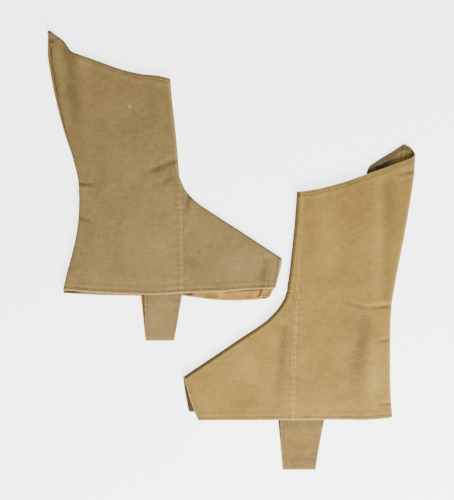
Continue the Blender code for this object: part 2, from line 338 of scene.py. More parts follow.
def linear(colour: str) -> tuple[float, float, float, float]:
    """Turns an sRGB hex colour into the linear one that shaders take.

    Args:
        colour: six hex digits after a hash sign.

    Returns:
        Red, green, blue and alpha.
    """
    parts = [int(colour[i : i + 2], 16) / 255 for i in (1, 3, 5)]
    red, green, blue = (
        c / 12.92 if c <= 0.04045 else ((c + 0.055) / 1.055) ** 2.4 for c in parts
    )
    return red, green, blue, 1.0


def add_node(tree: bpy.types.NodeTree, kind: str, settings: dict[str, Any] | None = None,
             **links: Any) -> bpy.types.Node:
    """Adds one shader node with its settings and what feeds it.

    Args:
        tree: the material's node tree.
        kind: the node's type name.
        settings: attributes, or socket values where the key is a number or a socket's name.
        links: sockets that feed it, by input name with _ for a space, or in0, in1 by number.

    Returns:
        The new node.
    """
    node = tree.nodes.new(kind)
    for key, value in (settings or {}).items():
        if isinstance(key, int) or key in node.inputs:
            node.inputs[key].default_value = value
        else:
            setattr(node, key, value)
    for key, socket in links.items():
        target = int(key[2:]) if key[:2] == "in" and key[2:].isdigit() else key.replace("_", " ")
        tree.links.new(socket, node.inputs[target])
    return node


def ramp(tree: bpy.types.NodeTree, fac: Any, stops: Sequence[tuple[float, str]]) -> bpy.types.Node:
    """Adds a colour ramp.

    Args:
        tree: the material's node tree.
        fac: the socket it reads.
        stops: place and sRGB hex colour of each stop.

    Returns:
        The ramp node.
    """
    node = add_node(tree, "ShaderNodeValToRGB", in0=fac)
    elements = node.color_ramp.elements
    while len(elements) < len(stops):
        elements.new(0.5)
    for element, (place, colour) in zip(elements, stops):
        element.position = place
        element.color = linear(colour)
    return node


def new_material(name: str) -> tuple[bpy.types.Material, bpy.types.NodeTree, bpy.types.Node]:
    """Starts a material with a Principled surface.

    Args:
        name: the real material's name.

    Returns:
        The material, its node tree and its Principled node.
    """
    material = bpy.data.materials.new(name)
    material.use_nodes = True
    tree = material.node_tree
    return material, tree, tree.nodes["Principled BSDF"]


@dataclass(frozen=True)
class CottonCanvas:
    """Plain-woven cotton canvas, washed and pressed: matt and slubby, with a faint nap.

    The eye sees short uneven streaks along both threads, where slubs lie side by side, and a warm
    khaki. Its tone makes it browner in the troughs and paler on the ridges, which is painted shade and
    painted highlight, and paler along turned edges, partly from rubbing and partly as a painted highlight.
    """

    name: str
    deep: str
    base: str
    pale: str
    tone_name: str = "tone"
    thread_pitch: float = 1.3  # real threads lie 0.7 mm apart; coarser, so that they can show
    slub_length: float = 10.0
    blotch: float = 34.0
    weft_share: float = 0.28
    warp_share: float = 0.24
    weave_share: float = 0.03
    cloud_share: float = 0.26
    stops: tuple[float, float, float] = (0.09, 0.41, 0.79)  # of the three colours

    def material(self) -> bpy.types.Material:
        """Builds the shader.

        Returns:
            The material.
        """
        material, tree, surface = new_material(self.name)
        place = add_node(tree, "ShaderNodeTexCoord").outputs["Object"]
        weft = self._streaks(tree, place, across=True)
        warp = self._streaks(tree, place, across=False)
        weave = self._weave(tree, place)
        cloud = add_node(
            tree, "ShaderNodeTexNoise", {"Scale": 1 / (self.blotch * MM), "Detail": 3.0}, Vector=place
        ).outputs["Fac"]
        tone = add_node(tree, "ShaderNodeAttribute", {"attribute_name": self.tone_name}).outputs["Fac"]
        parts = (weft, warp, weave, cloud)
        shares = (self.weft_share, self.warp_share, self.weave_share, self.cloud_share)
        threads = self._sum(tree, *zip(parts, shares))
        mixed = add_node(
            tree, "ShaderNodeMath", {"operation": "MULTIPLY_ADD", 1: 0.5}, in0=tone, in2=threads
        ).outputs[0]
        stops = list(zip(self.stops, (self.deep, self.base, self.pale)))
        colour = ramp(tree, mixed, stops).outputs["Color"]
        tree.links.new(colour, surface.inputs["Base Color"])
        rough = add_node(
            tree, "ShaderNodeMapRange", {"To Min": 0.84, "To Max": 0.97}, Value=warp
        ).outputs[0]
        tree.links.new(rough, surface.inputs["Roughness"])
        height = self._sum(tree, (weave, 0.22), (weft, 0.4), (warp, 0.4))
        bump = add_node(
            tree, "ShaderNodeBump", {"Strength": 0.45, "Distance": 0.0004}, Height=height
        ).outputs[0]
        tree.links.new(bump, surface.inputs["Normal"])
        surface.inputs["IOR"].default_value = 1.45
        surface.inputs["Specular IOR Level"].default_value = 0.18
        surface.inputs["Sheen Weight"].default_value = 0.06
        surface.inputs["Sheen Roughness"].default_value = 0.6
        return material

    def _streaks(self, tree: bpy.types.NodeTree, place: Any, across: bool) -> Any:
        """Slubs along one set of threads.

        Args:
            tree: the material's node tree.
            place: the coordinates' socket.
            across: True for the weft, which runs across the leg.

        Returns:
            A socket from 0 to 1.
        """
        along, beside = 1 / (self.slub_length * MM), 1 / (self.thread_pitch * 1.25 * MM)
        scale = (along, beside, beside) if across else (beside, along, beside)
        turned = add_node(
            tree, "ShaderNodeMapping", {"Scale": scale, "Location": (3.1 if across else 7.7, 0, 0)},
            Vector=place,
        ).outputs[0]
        return add_node(
            tree, "ShaderNodeTexNoise", {"Scale": 1.0, "Detail": 2.0, "Roughness": 0.55}, Vector=turned
        ).outputs["Fac"]

    def _weave(self, tree: bpy.types.NodeTree, place: Any) -> Any:
        """Over and under of single threads.

        Args:
            tree: the material's node tree.
            place: the coordinates' socket.

        Returns:
            A socket from 0 to 1.
        """
        # A wave texture's period is a fixed twentieth of a turn at a scale of 1.
        scale = math.tau / (20 * 2 * self.thread_pitch * MM)
        bands = [
            add_node(
                tree,
                "ShaderNodeTexWave",
                {"bands_direction": way, "Scale": scale, "Distortion": 1.2, "Detail": 1.0},
                Vector=place,
            ).outputs["Fac"]
            for way in ("X", "Y")
        ]
        return add_node(
            tree, "ShaderNodeMath", {"operation": "MULTIPLY"}, in0=bands[0], in1=bands[1]
        ).outputs[0]

    def _sum(self, tree: bpy.types.NodeTree, *parts: tuple[Any, float]) -> Any:
        """Adds sockets, each times its own share.

        Args:
            tree: the material's node tree.
            parts: each socket and its share.

        Returns:
            The sum's socket.
        """
        total = None
        for socket, share in parts:
            settings = {"operation": "MULTIPLY_ADD", 1: share, 2: 0.0}
            node = add_node(tree, "ShaderNodeMath", settings, in0=socket)
            if total is not None:
                tree.links.new(total, node.inputs[2])
            total = node.outputs[0]
        return total


@dataclass(frozen=True)
class CottonThread:
    """Twisted cotton sewing thread, a shade paler than the cloth, with a soft gleam."""

    name: str
    base: str
    deep: str

    def material(self) -> bpy.types.Material:
        """Builds the shader.

        Returns:
            The material.
        """
        material, tree, surface = new_material(self.name)
        place = add_node(tree, "ShaderNodeTexCoord").outputs["Object"]
        fibre = add_node(
            tree, "ShaderNodeTexNoise", {"Scale": 900.0, "Detail": 2.0}, Vector=place
        ).outputs["Fac"]
        colour = ramp(tree, fibre, ((0.3, self.deep), (0.65, self.base))).outputs["Color"]
        tree.links.new(colour, surface.inputs["Base Color"])
        surface.inputs["Roughness"].default_value = 0.7
        surface.inputs["Sheen Weight"].default_value = 0.2
        return material


@dataclass(frozen=True)
class Paper:
    """Matt white backdrop paper on a light table: even, with no gloss and few shadows."""

    name: str
    base: str
    grain: str
    backlight: float = 3.0

    def material(self) -> bpy.types.Material:
        """Builds the shader.

        Returns:
            The material.
        """
        material, tree, surface = new_material(self.name)
        place = add_node(tree, "ShaderNodeTexCoord").outputs["Object"]
        noise = add_node(
            tree, "ShaderNodeTexNoise", {"Scale": 4.0, "Detail": 2.0}, Vector=place
        ).outputs["Fac"]
        colour = ramp(tree, noise, ((0.35, self.grain), (0.65, self.base))).outputs["Color"]
        tree.links.new(colour, surface.inputs["Base Color"])
        surface.inputs["Roughness"].default_value = 0.95
        surface.inputs["Emission Color"].default_value = linear(self.base)
        surface.inputs["Emission Strength"].default_value = self.backlight
        return material


# ---------------------------------------------------------------- patterns


@dataclass(frozen=True)
class Pattern:
    """The sizes that one spat is cut and laid out to."""

    side: str
    toe_way: int
    leg: tuple[LegRow, ...]
    edges: tuple[EdgeRow, ...]
    upper_vamp: tuple[Station, ...]
    under_vamp: tuple[Station, ...]
    strap: tuple[StrapRow, ...]
    creases: tuple[Crease, ...]
    under_creases: tuple[Crease, ...]
    patches: tuple[Patch, ...]
    inside_patches_and_shade: tuple[Patch, ...]
    strip_name: str
    strip_inset: float
    strip_width: float
    strip_rows: tuple[float, float]
    strip_tone: float
    under_turning: float  # cloth folded to the inside along the under vamp's hem and toe
    back_turn: float  # cloth that goes round the back fold and on under the spat
    back_lifts: tuple[tuple[float, float], ...]  # its top edge's lift at each inset
    front_radius: float  # how far in the shin and instep roll starts
    front_shade_band: float  # width of the band of painted shade on that roll, where it turns away from the light
    top_tone: float  # of the turned top edge: darker on the left; paler on the right, partly rubbed wear and partly a painted highlight
    lip_shade: float  # painted shade on the turned cloth inside the top, which lies in the opening's shade
    strap_tone: float
    tack: tuple[tuple[float, float], ...]  # a short bar of stitches at the closure's top
    apex_row: int
    strap_anchor: tuple[float, float]  # the strap's outermost heel side and lowest point
    canvas: CottonCanvas
    inner_canvas: CottonCanvas
    thread: CottonThread
    ripple_seed: int


LEFT = Pattern(
    side="left",
    toe_way=1,
    leg=(
        #      back_x back_y front_x front_y reveal turn lap
        LegRow(-0.5, 2, 141, -1, 0, 0, 3.3),
        LegRow(3.2, 20, 141, 20, 0, 0, 3.3),
        LegRow(9, 42, 141, 42, 0, 0, 3.3),
        LegRow(14.6, 66, 140.5, 66, 0, 0, 3.3),
        LegRow(17.8, 89, 140, 92, 0, 0, 3.3),
        LegRow(18.6, 109, 139.5, 116, 0, 0, 3.3),
        LegRow(17.4, 132, 139, 140, 0.5, 0, 0),
        LegRow(11.2, 160, 137.4, 160, 1.5, 0, 0),
        LegRow(0.4, 193, 135.4, 184, 3, 0, 0),
        LegRow(-8.8, 228, 133, 208, 4.5, 0, 0),
        LegRow(-15.6, 262, 130.4, 230, 5.5, 0, 0),
        LegRow(-19.4, 291, 129, 244, 5.5, 0, 0),
        LegRow(-19, 316, 128.4, 256.6, 0, 0, 0),
    ),
    edges=(
        EdgeRow(0, 0.4, -3, -2.6, -5),
        EdgeRow(0.012, 0.5, -3, -0.8, -3.6),
        EdgeRow(0.03, 0.7, -3, -0.9, -4),
        EdgeRow(0.055, 0.6, -3.1, -2.6, -6),
        EdgeRow(0.1, 0.2, -3.3, -4.6, -8),
        EdgeRow(0.13, -0.3, -3.5, -6.2, -9),
        EdgeRow(0.2, -0.9, -3.9, -15.4, -18),
        EdgeRow(0.36, -1.6, -4.3, -14.3, -17),
        EdgeRow(0.57, -2.4, -4.3, -13, -16),
        EdgeRow(0.75, -2.3, -3.9, -9, -12),
        EdgeRow(0.9, -1, -3.4, -2.5, -6),
        EdgeRow(1, 0, -3, 0, -2),
    ),
    upper_vamp=(
        Station(141, -1, 139, 139.9, 0),
        Station(157, 0, 145, 125, 0),
        Station(175, 0.4, 157, 111, 0),
        Station(200, 1.6, 187, 90, 0),
        Station(222, 3.5, 212, 74, 0),
        Station(240, 4.3, 237, 57.5, 0),
        Station(254.4, 4.8, 261.8, 41.5, 0.6),
    ),
    under_vamp=(
        Station(141, -4, 139, 139.9, 0),
        Station(157, -6, 145, 125, 0),
        Station(175, -8.5, 157, 111, 0),
        Station(204, -10, 187, 90, 0),
        Station(224, -9.3, 212, 74, 0),
        Station(238, -8.2, 237, 57.5, 0),
        Station(246.8, -6.5, 262.6, 41, 3),
    ),
    strap=(
        StrapRow(13, 3.65, 96.4, 142.6),
        StrapRow(-4, 3.65, 96.8, 142),
        StrapRow(-11, 3.0, 96.9, 140.9),
        StrapRow(-18, 2.4, 97, 139.8),
        StrapRow(-40, 2.3, 97.4, 136.2),
        StrapRow(-55.6, 2.5, 98.4, 133.2),
        StrapRow(-57.4, 2.2, 98.5, 133),
        StrapRow(-58.3, 1.3, 98.4, 133),
        StrapRow(-57.4, 0.4, 98.2, 133),
        StrapRow(-55.6, 0.06, 98, 133),
        StrapRow(-40, 0.06, 96.2, 136),
        StrapRow(-18, 0.1, 94, 139.8),
        StrapRow(-8.5, 1.9, 93, 141.4),
        StrapRow(13, 1.95, 92.6, 142.6),
    ),
    creases=(
        Crease(5, 299, 10, 236, 7, -1.05, 0.5),
        Crease(11, 222, 15, 165, 8.5, -0.5, 0.25),
        Crease(-8, 290, 2, 214, 4.5, 0.4, 0.4),
        Crease(24, 286, 26, 200, 8, 0.45, 0.2),
        Crease(133, 158, 104, 147, 3.4, -0.9, 0.5),
        Crease(112, 148, 97, 144, 5, -0.35, 0.3),
        Crease(128, 138, 110, 128, 3.6, -0.6, 0.3),
        Crease(150, 117, 146, 98, 3.0, -1.35, 0.4),
        Crease(158, 112, 151, 88, 7, 0.4, 0.4),
        Crease(20, 131, 37, 130, 2.1, -0.95, 0.25),
        Crease(21, 127, 36, 125, 2.8, 0.3, 0.3),
        Crease(20, 90, 36, 85, 2.2, -0.8, 0.25),
        Crease(8, 30, 22, 33, 3, -0.3, 0.2),
        Crease(27, 78, 40, 60, 9, -0.22, 0.5),
        Crease(100, 12, 138, 10, 16, 0.4, 1),
        Crease(60, 30, 96, 22, 8, -0.3, 0.4),
        Crease(150, 40, 172, 28, 8, -0.3, 0.4),
        Crease(242, 39, 237, 9, 4.6, -0.8, 0.7),
        Crease(60, 232, 88, 120, 14, 0.3, 0.3),
        Crease(108, 240, 96, 196, 10, -0.3, 0.3),
        Crease(44, 170, 52, 96, 12, -0.3, 0.4),
    ),
    under_creases=(
        Crease(20, 131, 40, 128, 3, 0.22, 0.3),
        Crease(133, 158, 104, 147, 4, 0.22, 0.3),
        Crease(40, 240, 52, 120, 10, 0.2, 0.3),
        Crease(150, 40, 176, 26, 7, 0.2, 0.4),
        Crease(16, 62, 36, 54, 4, 0.18, 0.3),
    ),
    patches=(
        Patch(79.6, 223, 1.7, 1.1),
        Patch(-13.5, 301, 4.5, -0.45),
        Patch(30, 74, 14, -0.08),
        Patch(20, 250, 20, -0.1),
        Patch(110, 60, 30, 0.12),
        Patch(210, 30, 26, 0.1),
        Patch(239, 22, 7, -0.2),
        Patch(70, 190, 34, -0.1),
    ),
    # On the inside: the dark patches beside the strap and at the heel are painted shade in the gap under the
    # upper hem; the pale ones are the cloth's own tone.
    inside_patches_and_shade=(
        Patch(200, -6, 30, 0.25),
        Patch(234, -3, 9, 0.25),
        Patch(149, -5, 6, -0.8),
        Patch(172, -7, 5, -0.3),
        Patch(10, -2, 9, -1.4),
    ),
    strip_name="placket",
    strip_inset=0.0,
    strip_width=20.0,
    strip_rows=(6.0, 11.85),
    strip_tone=0.0,
    under_turning=14.0,
    back_turn=0.0,
    back_lifts=(),
    front_radius=4.0,
    front_shade_band=1.1,
    top_tone=-0.4,
    lip_shade=0.0,
    strap_tone=0.1,
    tack=((-17.4, 298), (-9.5, 298.4)),
    apex_row=6,
    strap_anchor=(92.6, -58.3),
    # The left canvas is a shade darker than the right's: partly the cloth's own tone, partly painted shade
    # for the light falling off towards the upper left.
    canvas=CottonCanvas("cotton_canvas_left", "#54442c", "#856d40", "#a78c5b"),
    inner_canvas=CottonCanvas("cotton_canvas_left_inside", "#664416", "#a37c3a", "#c09a52", "inside_tone"),
    thread=CottonThread("cotton_thread_left", "#b3945a", "#8d6f38"),
    ripple_seed=11,
)

RIGHT = Pattern(
    side="right",
    toe_way=-1,
    leg=(
        #      back_x back_y front_x front_y reveal turn lap
        LegRow(-0.4, -0.5, 120, -3.2, 0, 0, 3.3),
        LegRow(1.2, 24, 119.5, 23, 0, 0, 3.3),
        LegRow(2, 50, 119, 49, 0, 0, 3.3),
        LegRow(2, 76, 118.5, 75, 0, 0, 3.3),
        LegRow(1.8, 103, 117.4, 101, 0, 0, 3.3),
        LegRow(0.4, 132, 116, 127, 0, 0, 2.5),
        LegRow(-3.6, 158, 114, 150, 0, 12.5, 0),
        LegRow(-9.4, 189, 112.2, 175, 0, 11, 0),
        LegRow(-15.8, 222, 110.5, 203, 0, 9.6, 0),
        LegRow(-22.6, 262, 108.6, 232, 0, 8.6, 0),
        LegRow(-27, 293, 107.4, 255, 0, 8, 0),
        LegRow(-28, 313, 106.6, 271, 0, 7.6, 0),
    ),
    edges=(
        EdgeRow(0, 0, 0.8, 3, 12),
        EdgeRow(0.03, -0.4, 0.8, 0, 14.5),
        EdgeRow(0.104, -1.4, 0.8, -1, 18.8),
        EdgeRow(0.183, -1.9, 0.8, -1.6, 15.6),
        EdgeRow(0.272, -2.3, 0.8, -2.15, 12.1),
        EdgeRow(0.343, -2.0, 0.8, -2.55, 9.1),
        EdgeRow(0.405, -1.65, 0.8, -2.9, 6),
        EdgeRow(0.424, -1.55, 0.8, -2.95, 2.9),
        EdgeRow(0.445, -1.42, 0.8, -3.1, -5),
        EdgeRow(0.47, -1.35, 0.8, -3.2, -8),
        EdgeRow(0.62, -1, 0.8, -3.9, -9),
        EdgeRow(0.82, -0.6, 0.8, -3, -8),
        EdgeRow(1, 0, 0.8, 0, -1),
    ),
    upper_vamp=(
        Station(120, -3.2, 114, 149.98, 0),
        Station(131, -3.3, 126.4, 149.98, 0),
        Station(136.5, -3.4, 128.7, 144, 0),
        Station(148, -3.6, 135, 133, 0),
        Station(168, -3.8, 150.5, 116.2, 0),
        Station(192, -3.8, 183, 94, 0),
        Station(214, -4, 217, 71, 0),
        Station(232.6, -4.2, 250, 49.2, 1.5),
    ),
    under_vamp=(
        Station(120, -1.7, 114, 149.98, 0),
        Station(131, -1.6, 126.4, 149.98, 0),
        Station(136.5, -1.5, 128.7, 144, 0),
        Station(148, -1.2, 135, 133, 0),
        Station(168, 0.4, 150.5, 116.2, 0),
        Station(196, 2.4, 183, 94, 0),
        Station(220, 4.2, 217, 71, 0),
        Station(244, 6, 251, 48.2, 0.5),
    ),
    strap=(
        StrapRow(13, 3.65, 80, 134.5),
        StrapRow(-5, 3.65, 81.5, 134.5),
        StrapRow(-12, 3.0, 82.8, 134.2),
        StrapRow(-19, 2.4, 84.2, 134),
        StrapRow(-40, 2.3, 88, 133),
        StrapRow(-61, 2.5, 91.3, 131.3),
        StrapRow(-62.8, 2.2, 91.5, 131.2),
        StrapRow(-63.7, 1.3, 91.5, 131.2),
        StrapRow(-62.8, 0.4, 91.5, 131.3),
        StrapRow(-61, 0.06, 91.5, 131.5),
        StrapRow(-40, 0.06, 88.4, 133.2),
        StrapRow(-18, 0.1, 84.6, 135.4),
        StrapRow(-8.5, 1.9, 83, 136.4),
        StrapRow(13, 1.95, 82, 137),
    ),
    creases=(
        Crease(-1, 134, 34, 131.6, 2.0, -1.2, 0.3),
        Crease(36, 133, 57, 139.5, 2.2, -0.45, 0.3),
        Crease(0, 138.5, 34, 136.5, 3, 0.35, 0.4),
        Crease(1, 95, 20, 90.5, 2.0, -1.05, 0.25),
        Crease(2, 99, 20, 95.5, 3, 0.3, 0.3),
        Crease(0, 17, 15, 16.5, 2.0, -0.95, 0.25),
        Crease(1, 21, 16, 21, 2.6, 0.25, 0.2),
        Crease(-25, 295, -8, 292, 2.4, -0.95, 0.3),
        Crease(-23, 285, -6, 281, 3.5, -0.35, 0.2),
        Crease(18, 286, 20, 140, 7, 0.6, 0.7),
        Crease(4, 280, 8, 150, 7.5, -0.8, 0.6),
        Crease(31, 118, 38, 90, 8.5, -0.85, 1.1),
        Crease(40.5, 76, 45, 30, 10, -0.85, 0.5),
        Crease(23, 88, 27, 24, 9, 0.6, 0.8),
        Crease(130, 108, 133.5, 68, 5, -0.9, 0.9),
        Crease(135.5, 58, 139, 18, 6.5, -0.7, 0.6),
        Crease(146, 92, 146, 52, 8, 0.4, 0.5),
        Crease(172, 22, 206, 12, 12, -0.2, 0.4),
        Crease(176, 62, 206, 44, 12, 0.25, 0.4),
        Crease(50, 280, 56, 120, 13, -0.3, 0.5),
        Crease(82, 268, 74, 150, 13, 0.3, 0.5),
        Crease(100, 232, 98, 176, 5, -0.3, 0.4),
        Crease(76, 92, 92, 34, 10, -0.3, 0.4),
        Crease(86, 12, 132, 10, 16, 0.4, 1),
        Crease(60, 26, 84, 18, 5, -0.35, 0.3),
    ),
    under_creases=(
        Crease(-20, 325, -17, 300, 2.6, 0.8, 0.5),
        Crease(-13, 326, -13, 300, 2.4, -0.4, 0.5),
        Crease(-7, 322, -9, 298, 2.8, 0.9, 0.5),
        Crease(1, 318, -4, 296, 2.6, 0.5, 0.5),
        Crease(14, 309, 6, 290, 4, 0.6, 0.5),
        Crease(6, 133, 36, 130, 3, 0.22, 0.3),
        Crease(34, 128, 40, 30, 9, 0.2, 0.6),
        Crease(132, 104, 137, 30, 6, 0.22, 0.6),
        Crease(76, 250, 66, 150, 12, 0.2, 0.4),
    ),
    patches=(
        Patch(18, 200, 22, 0.18),
        Patch(20, 44, 16, 0.2),
        Patch(170, 66, 26, 0.12),
        Patch(72, 212, 30, 0.1),
    ),
    # On the inside: these are painted shade, where the inside shows in the openings at the top and at the
    # toe.
    inside_patches_and_shade=(
        Patch(-24, 322, 12, -0.1),
        Patch(-6, 318, 14, -0.1),
        Patch(10, 306, 11, -0.4),
        Patch(26, 300, 16, -0.6),
        Patch(250, 30, 22, -0.9),
        Patch(245, 8, 14, -0.7),
    ),
    strip_name="underlap",
    strip_inset=46.5,
    strip_width=9.5,
    strip_rows=(4.0, 11.0),
    # Painted shade: the underlap shows only inside the top opening, under the upper cloth's edge, and is
    # darkened for it.
    strip_tone=-0.9,
    under_turning=9.0,
    back_turn=14.0,
    back_lifts=((0, 3), (0.6, 5), (2.5, 8.4), (8, 15), (14, 18.8)),
    front_radius=5.0,
    front_shade_band=4.0,
    top_tone=0.5,
    lip_shade=-0.4,
    strap_tone=-0.22,
    tack=(),
    apex_row=6,
    strap_anchor=(80.0, -63.7),
    # The right canvas is a shade paler than the left's: partly the cloth's own tone, partly a painted
    # highlight for the light being stronger towards the lower right.
    canvas=CottonCanvas("cotton_canvas_right", "#5a4b31", "#917437", "#b29551"),
    inner_canvas=CottonCanvas("cotton_canvas_right_inside", "#4a3c26", "#8e7040", "#ae8f55", "inside_tone"),
    thread=CottonThread("cotton_thread_right", "#c5a568", "#9c7d44"),
    ripple_seed=29,
)


# ---------------------------------------------------------------- cloth


@dataclass(frozen=True)
class TurnedEdge:
    """Steps that carry a sheet round a turned edge and in along its inner side.

    Each step has an overhang, how far it stands beyond the last full line of the sheet, and a drop,
    from 0 on the outer face to 1 on the inner one.
    """

    radius: float = HEM_RADIUS
    turning: float = TURNING
    round_steps: int = 6

    def steps(self) -> list[tuple[float, float, float]]:
        """Lists each step, outwards round the fold and then back in.

        Returns:
            Inset of the line it stands on, overhang beyond that line and drop.
        """
        angles = [math.pi * i / self.round_steps for i in range(1, self.round_steps + 1)]
        bend = [(0.0, self.radius * math.sin(a), (1 - math.cos(a)) / 2) for a in angles]
        return bend + [(self.turning * share, 0.0, 1.0) for share in (0.15, 0.4, 0.7, 1.0)]


EDGE = TurnedEdge()


@dataclass
class Sheet:
    """A sheet of canvas: a grid of points on its outer face, which becomes a thin shell.

    Each array has a row for each line of the sheet. A tone says how much paler or darker than its
    base the cloth is, on its outer face and on its inner one, painted shade and highlight included.
    """

    node: str  # the solid it stands for
    x: np.ndarray
    y: np.ndarray
    z: np.ndarray
    tone: np.ndarray
    inside_tone: np.ndarray
    slot: str = "panel_canvas"

    def piece(
        self,
        spat: "Spat",
        faces_up: bool,
        keep: Callable[[int, int], bool] | None = None,
        wrong_side: Callable[[int, int], bool] | None = None,
    ) -> bpy.types.Object:
        """Makes the sheet's object.

        Args:
            spat: the spat it belongs to, which places it.
            faces_up: whether its outermost faces look up.
            keep: says of a face's line and place in it whether it is cloth.
            wrong_side: says of a face's line and place whether it has the inner finish.

        Returns:
            The finished object, dressed in the spat's canvas and standing for its solid.
        """
        lines, places = self.x.shape
        cloth = bmesh.new()
        bmesh.ops.create_grid(cloth, x_segments=places - 1, y_segments=lines - 1, size=1)
        tone_layer = cloth.verts.layers.float.new("tone")
        inside_layer = cloth.verts.layers.float.new("inside_tone")
        number: dict[bmesh.types.BMVert, tuple[int, int]] = {}
        for vert in cloth.verts:
            line = round((vert.co.y + 1) / 2 * (lines - 1))
            place = round((vert.co.x + 1) / 2 * (places - 1))
            number[vert] = (line, place)
            vert[tone_layer] = self.tone[line, place]
            vert[inside_layer] = self.inside_tone[line, place]
            vert.co = spat.world(self.x[line, place], self.y[line, place], self.z[line, place])
        spare = []
        for face in cloth.faces:
            line, place = (min(number[vert][axis] for vert in face.verts) for axis in (0, 1))
            if keep and not keep(line, place):
                spare.append(face)
            if wrong_side and wrong_side(line, place):
                face.material_index = 1
        bmesh.ops.delete(cloth, geom=spare, context="FACES")
        bmesh.ops.remove_doubles(cloth, verts=cloth.verts[:], dist=MERGE * MM)
        cloth.normal_update()
        outermost = (max if faces_up else min)(cloth.faces, key=lambda f: f.calc_center_median().z)
        if (outermost.normal.z > 0) != faces_up:
            bmesh.ops.reverse_faces(cloth, faces=cloth.faces[:])
        piece = new_object(f"{self.node}_cloth", cloth, spat.canvas, spat.inner_canvas)
        wall = piece.modifiers.new("wall", "SOLIDIFY")
        wall.thickness = CLOTH_WALL * MM
        wall.offset = -1
        wall.material_offset = 1
        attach(piece, "root")
        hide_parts(self.node)
        return piece


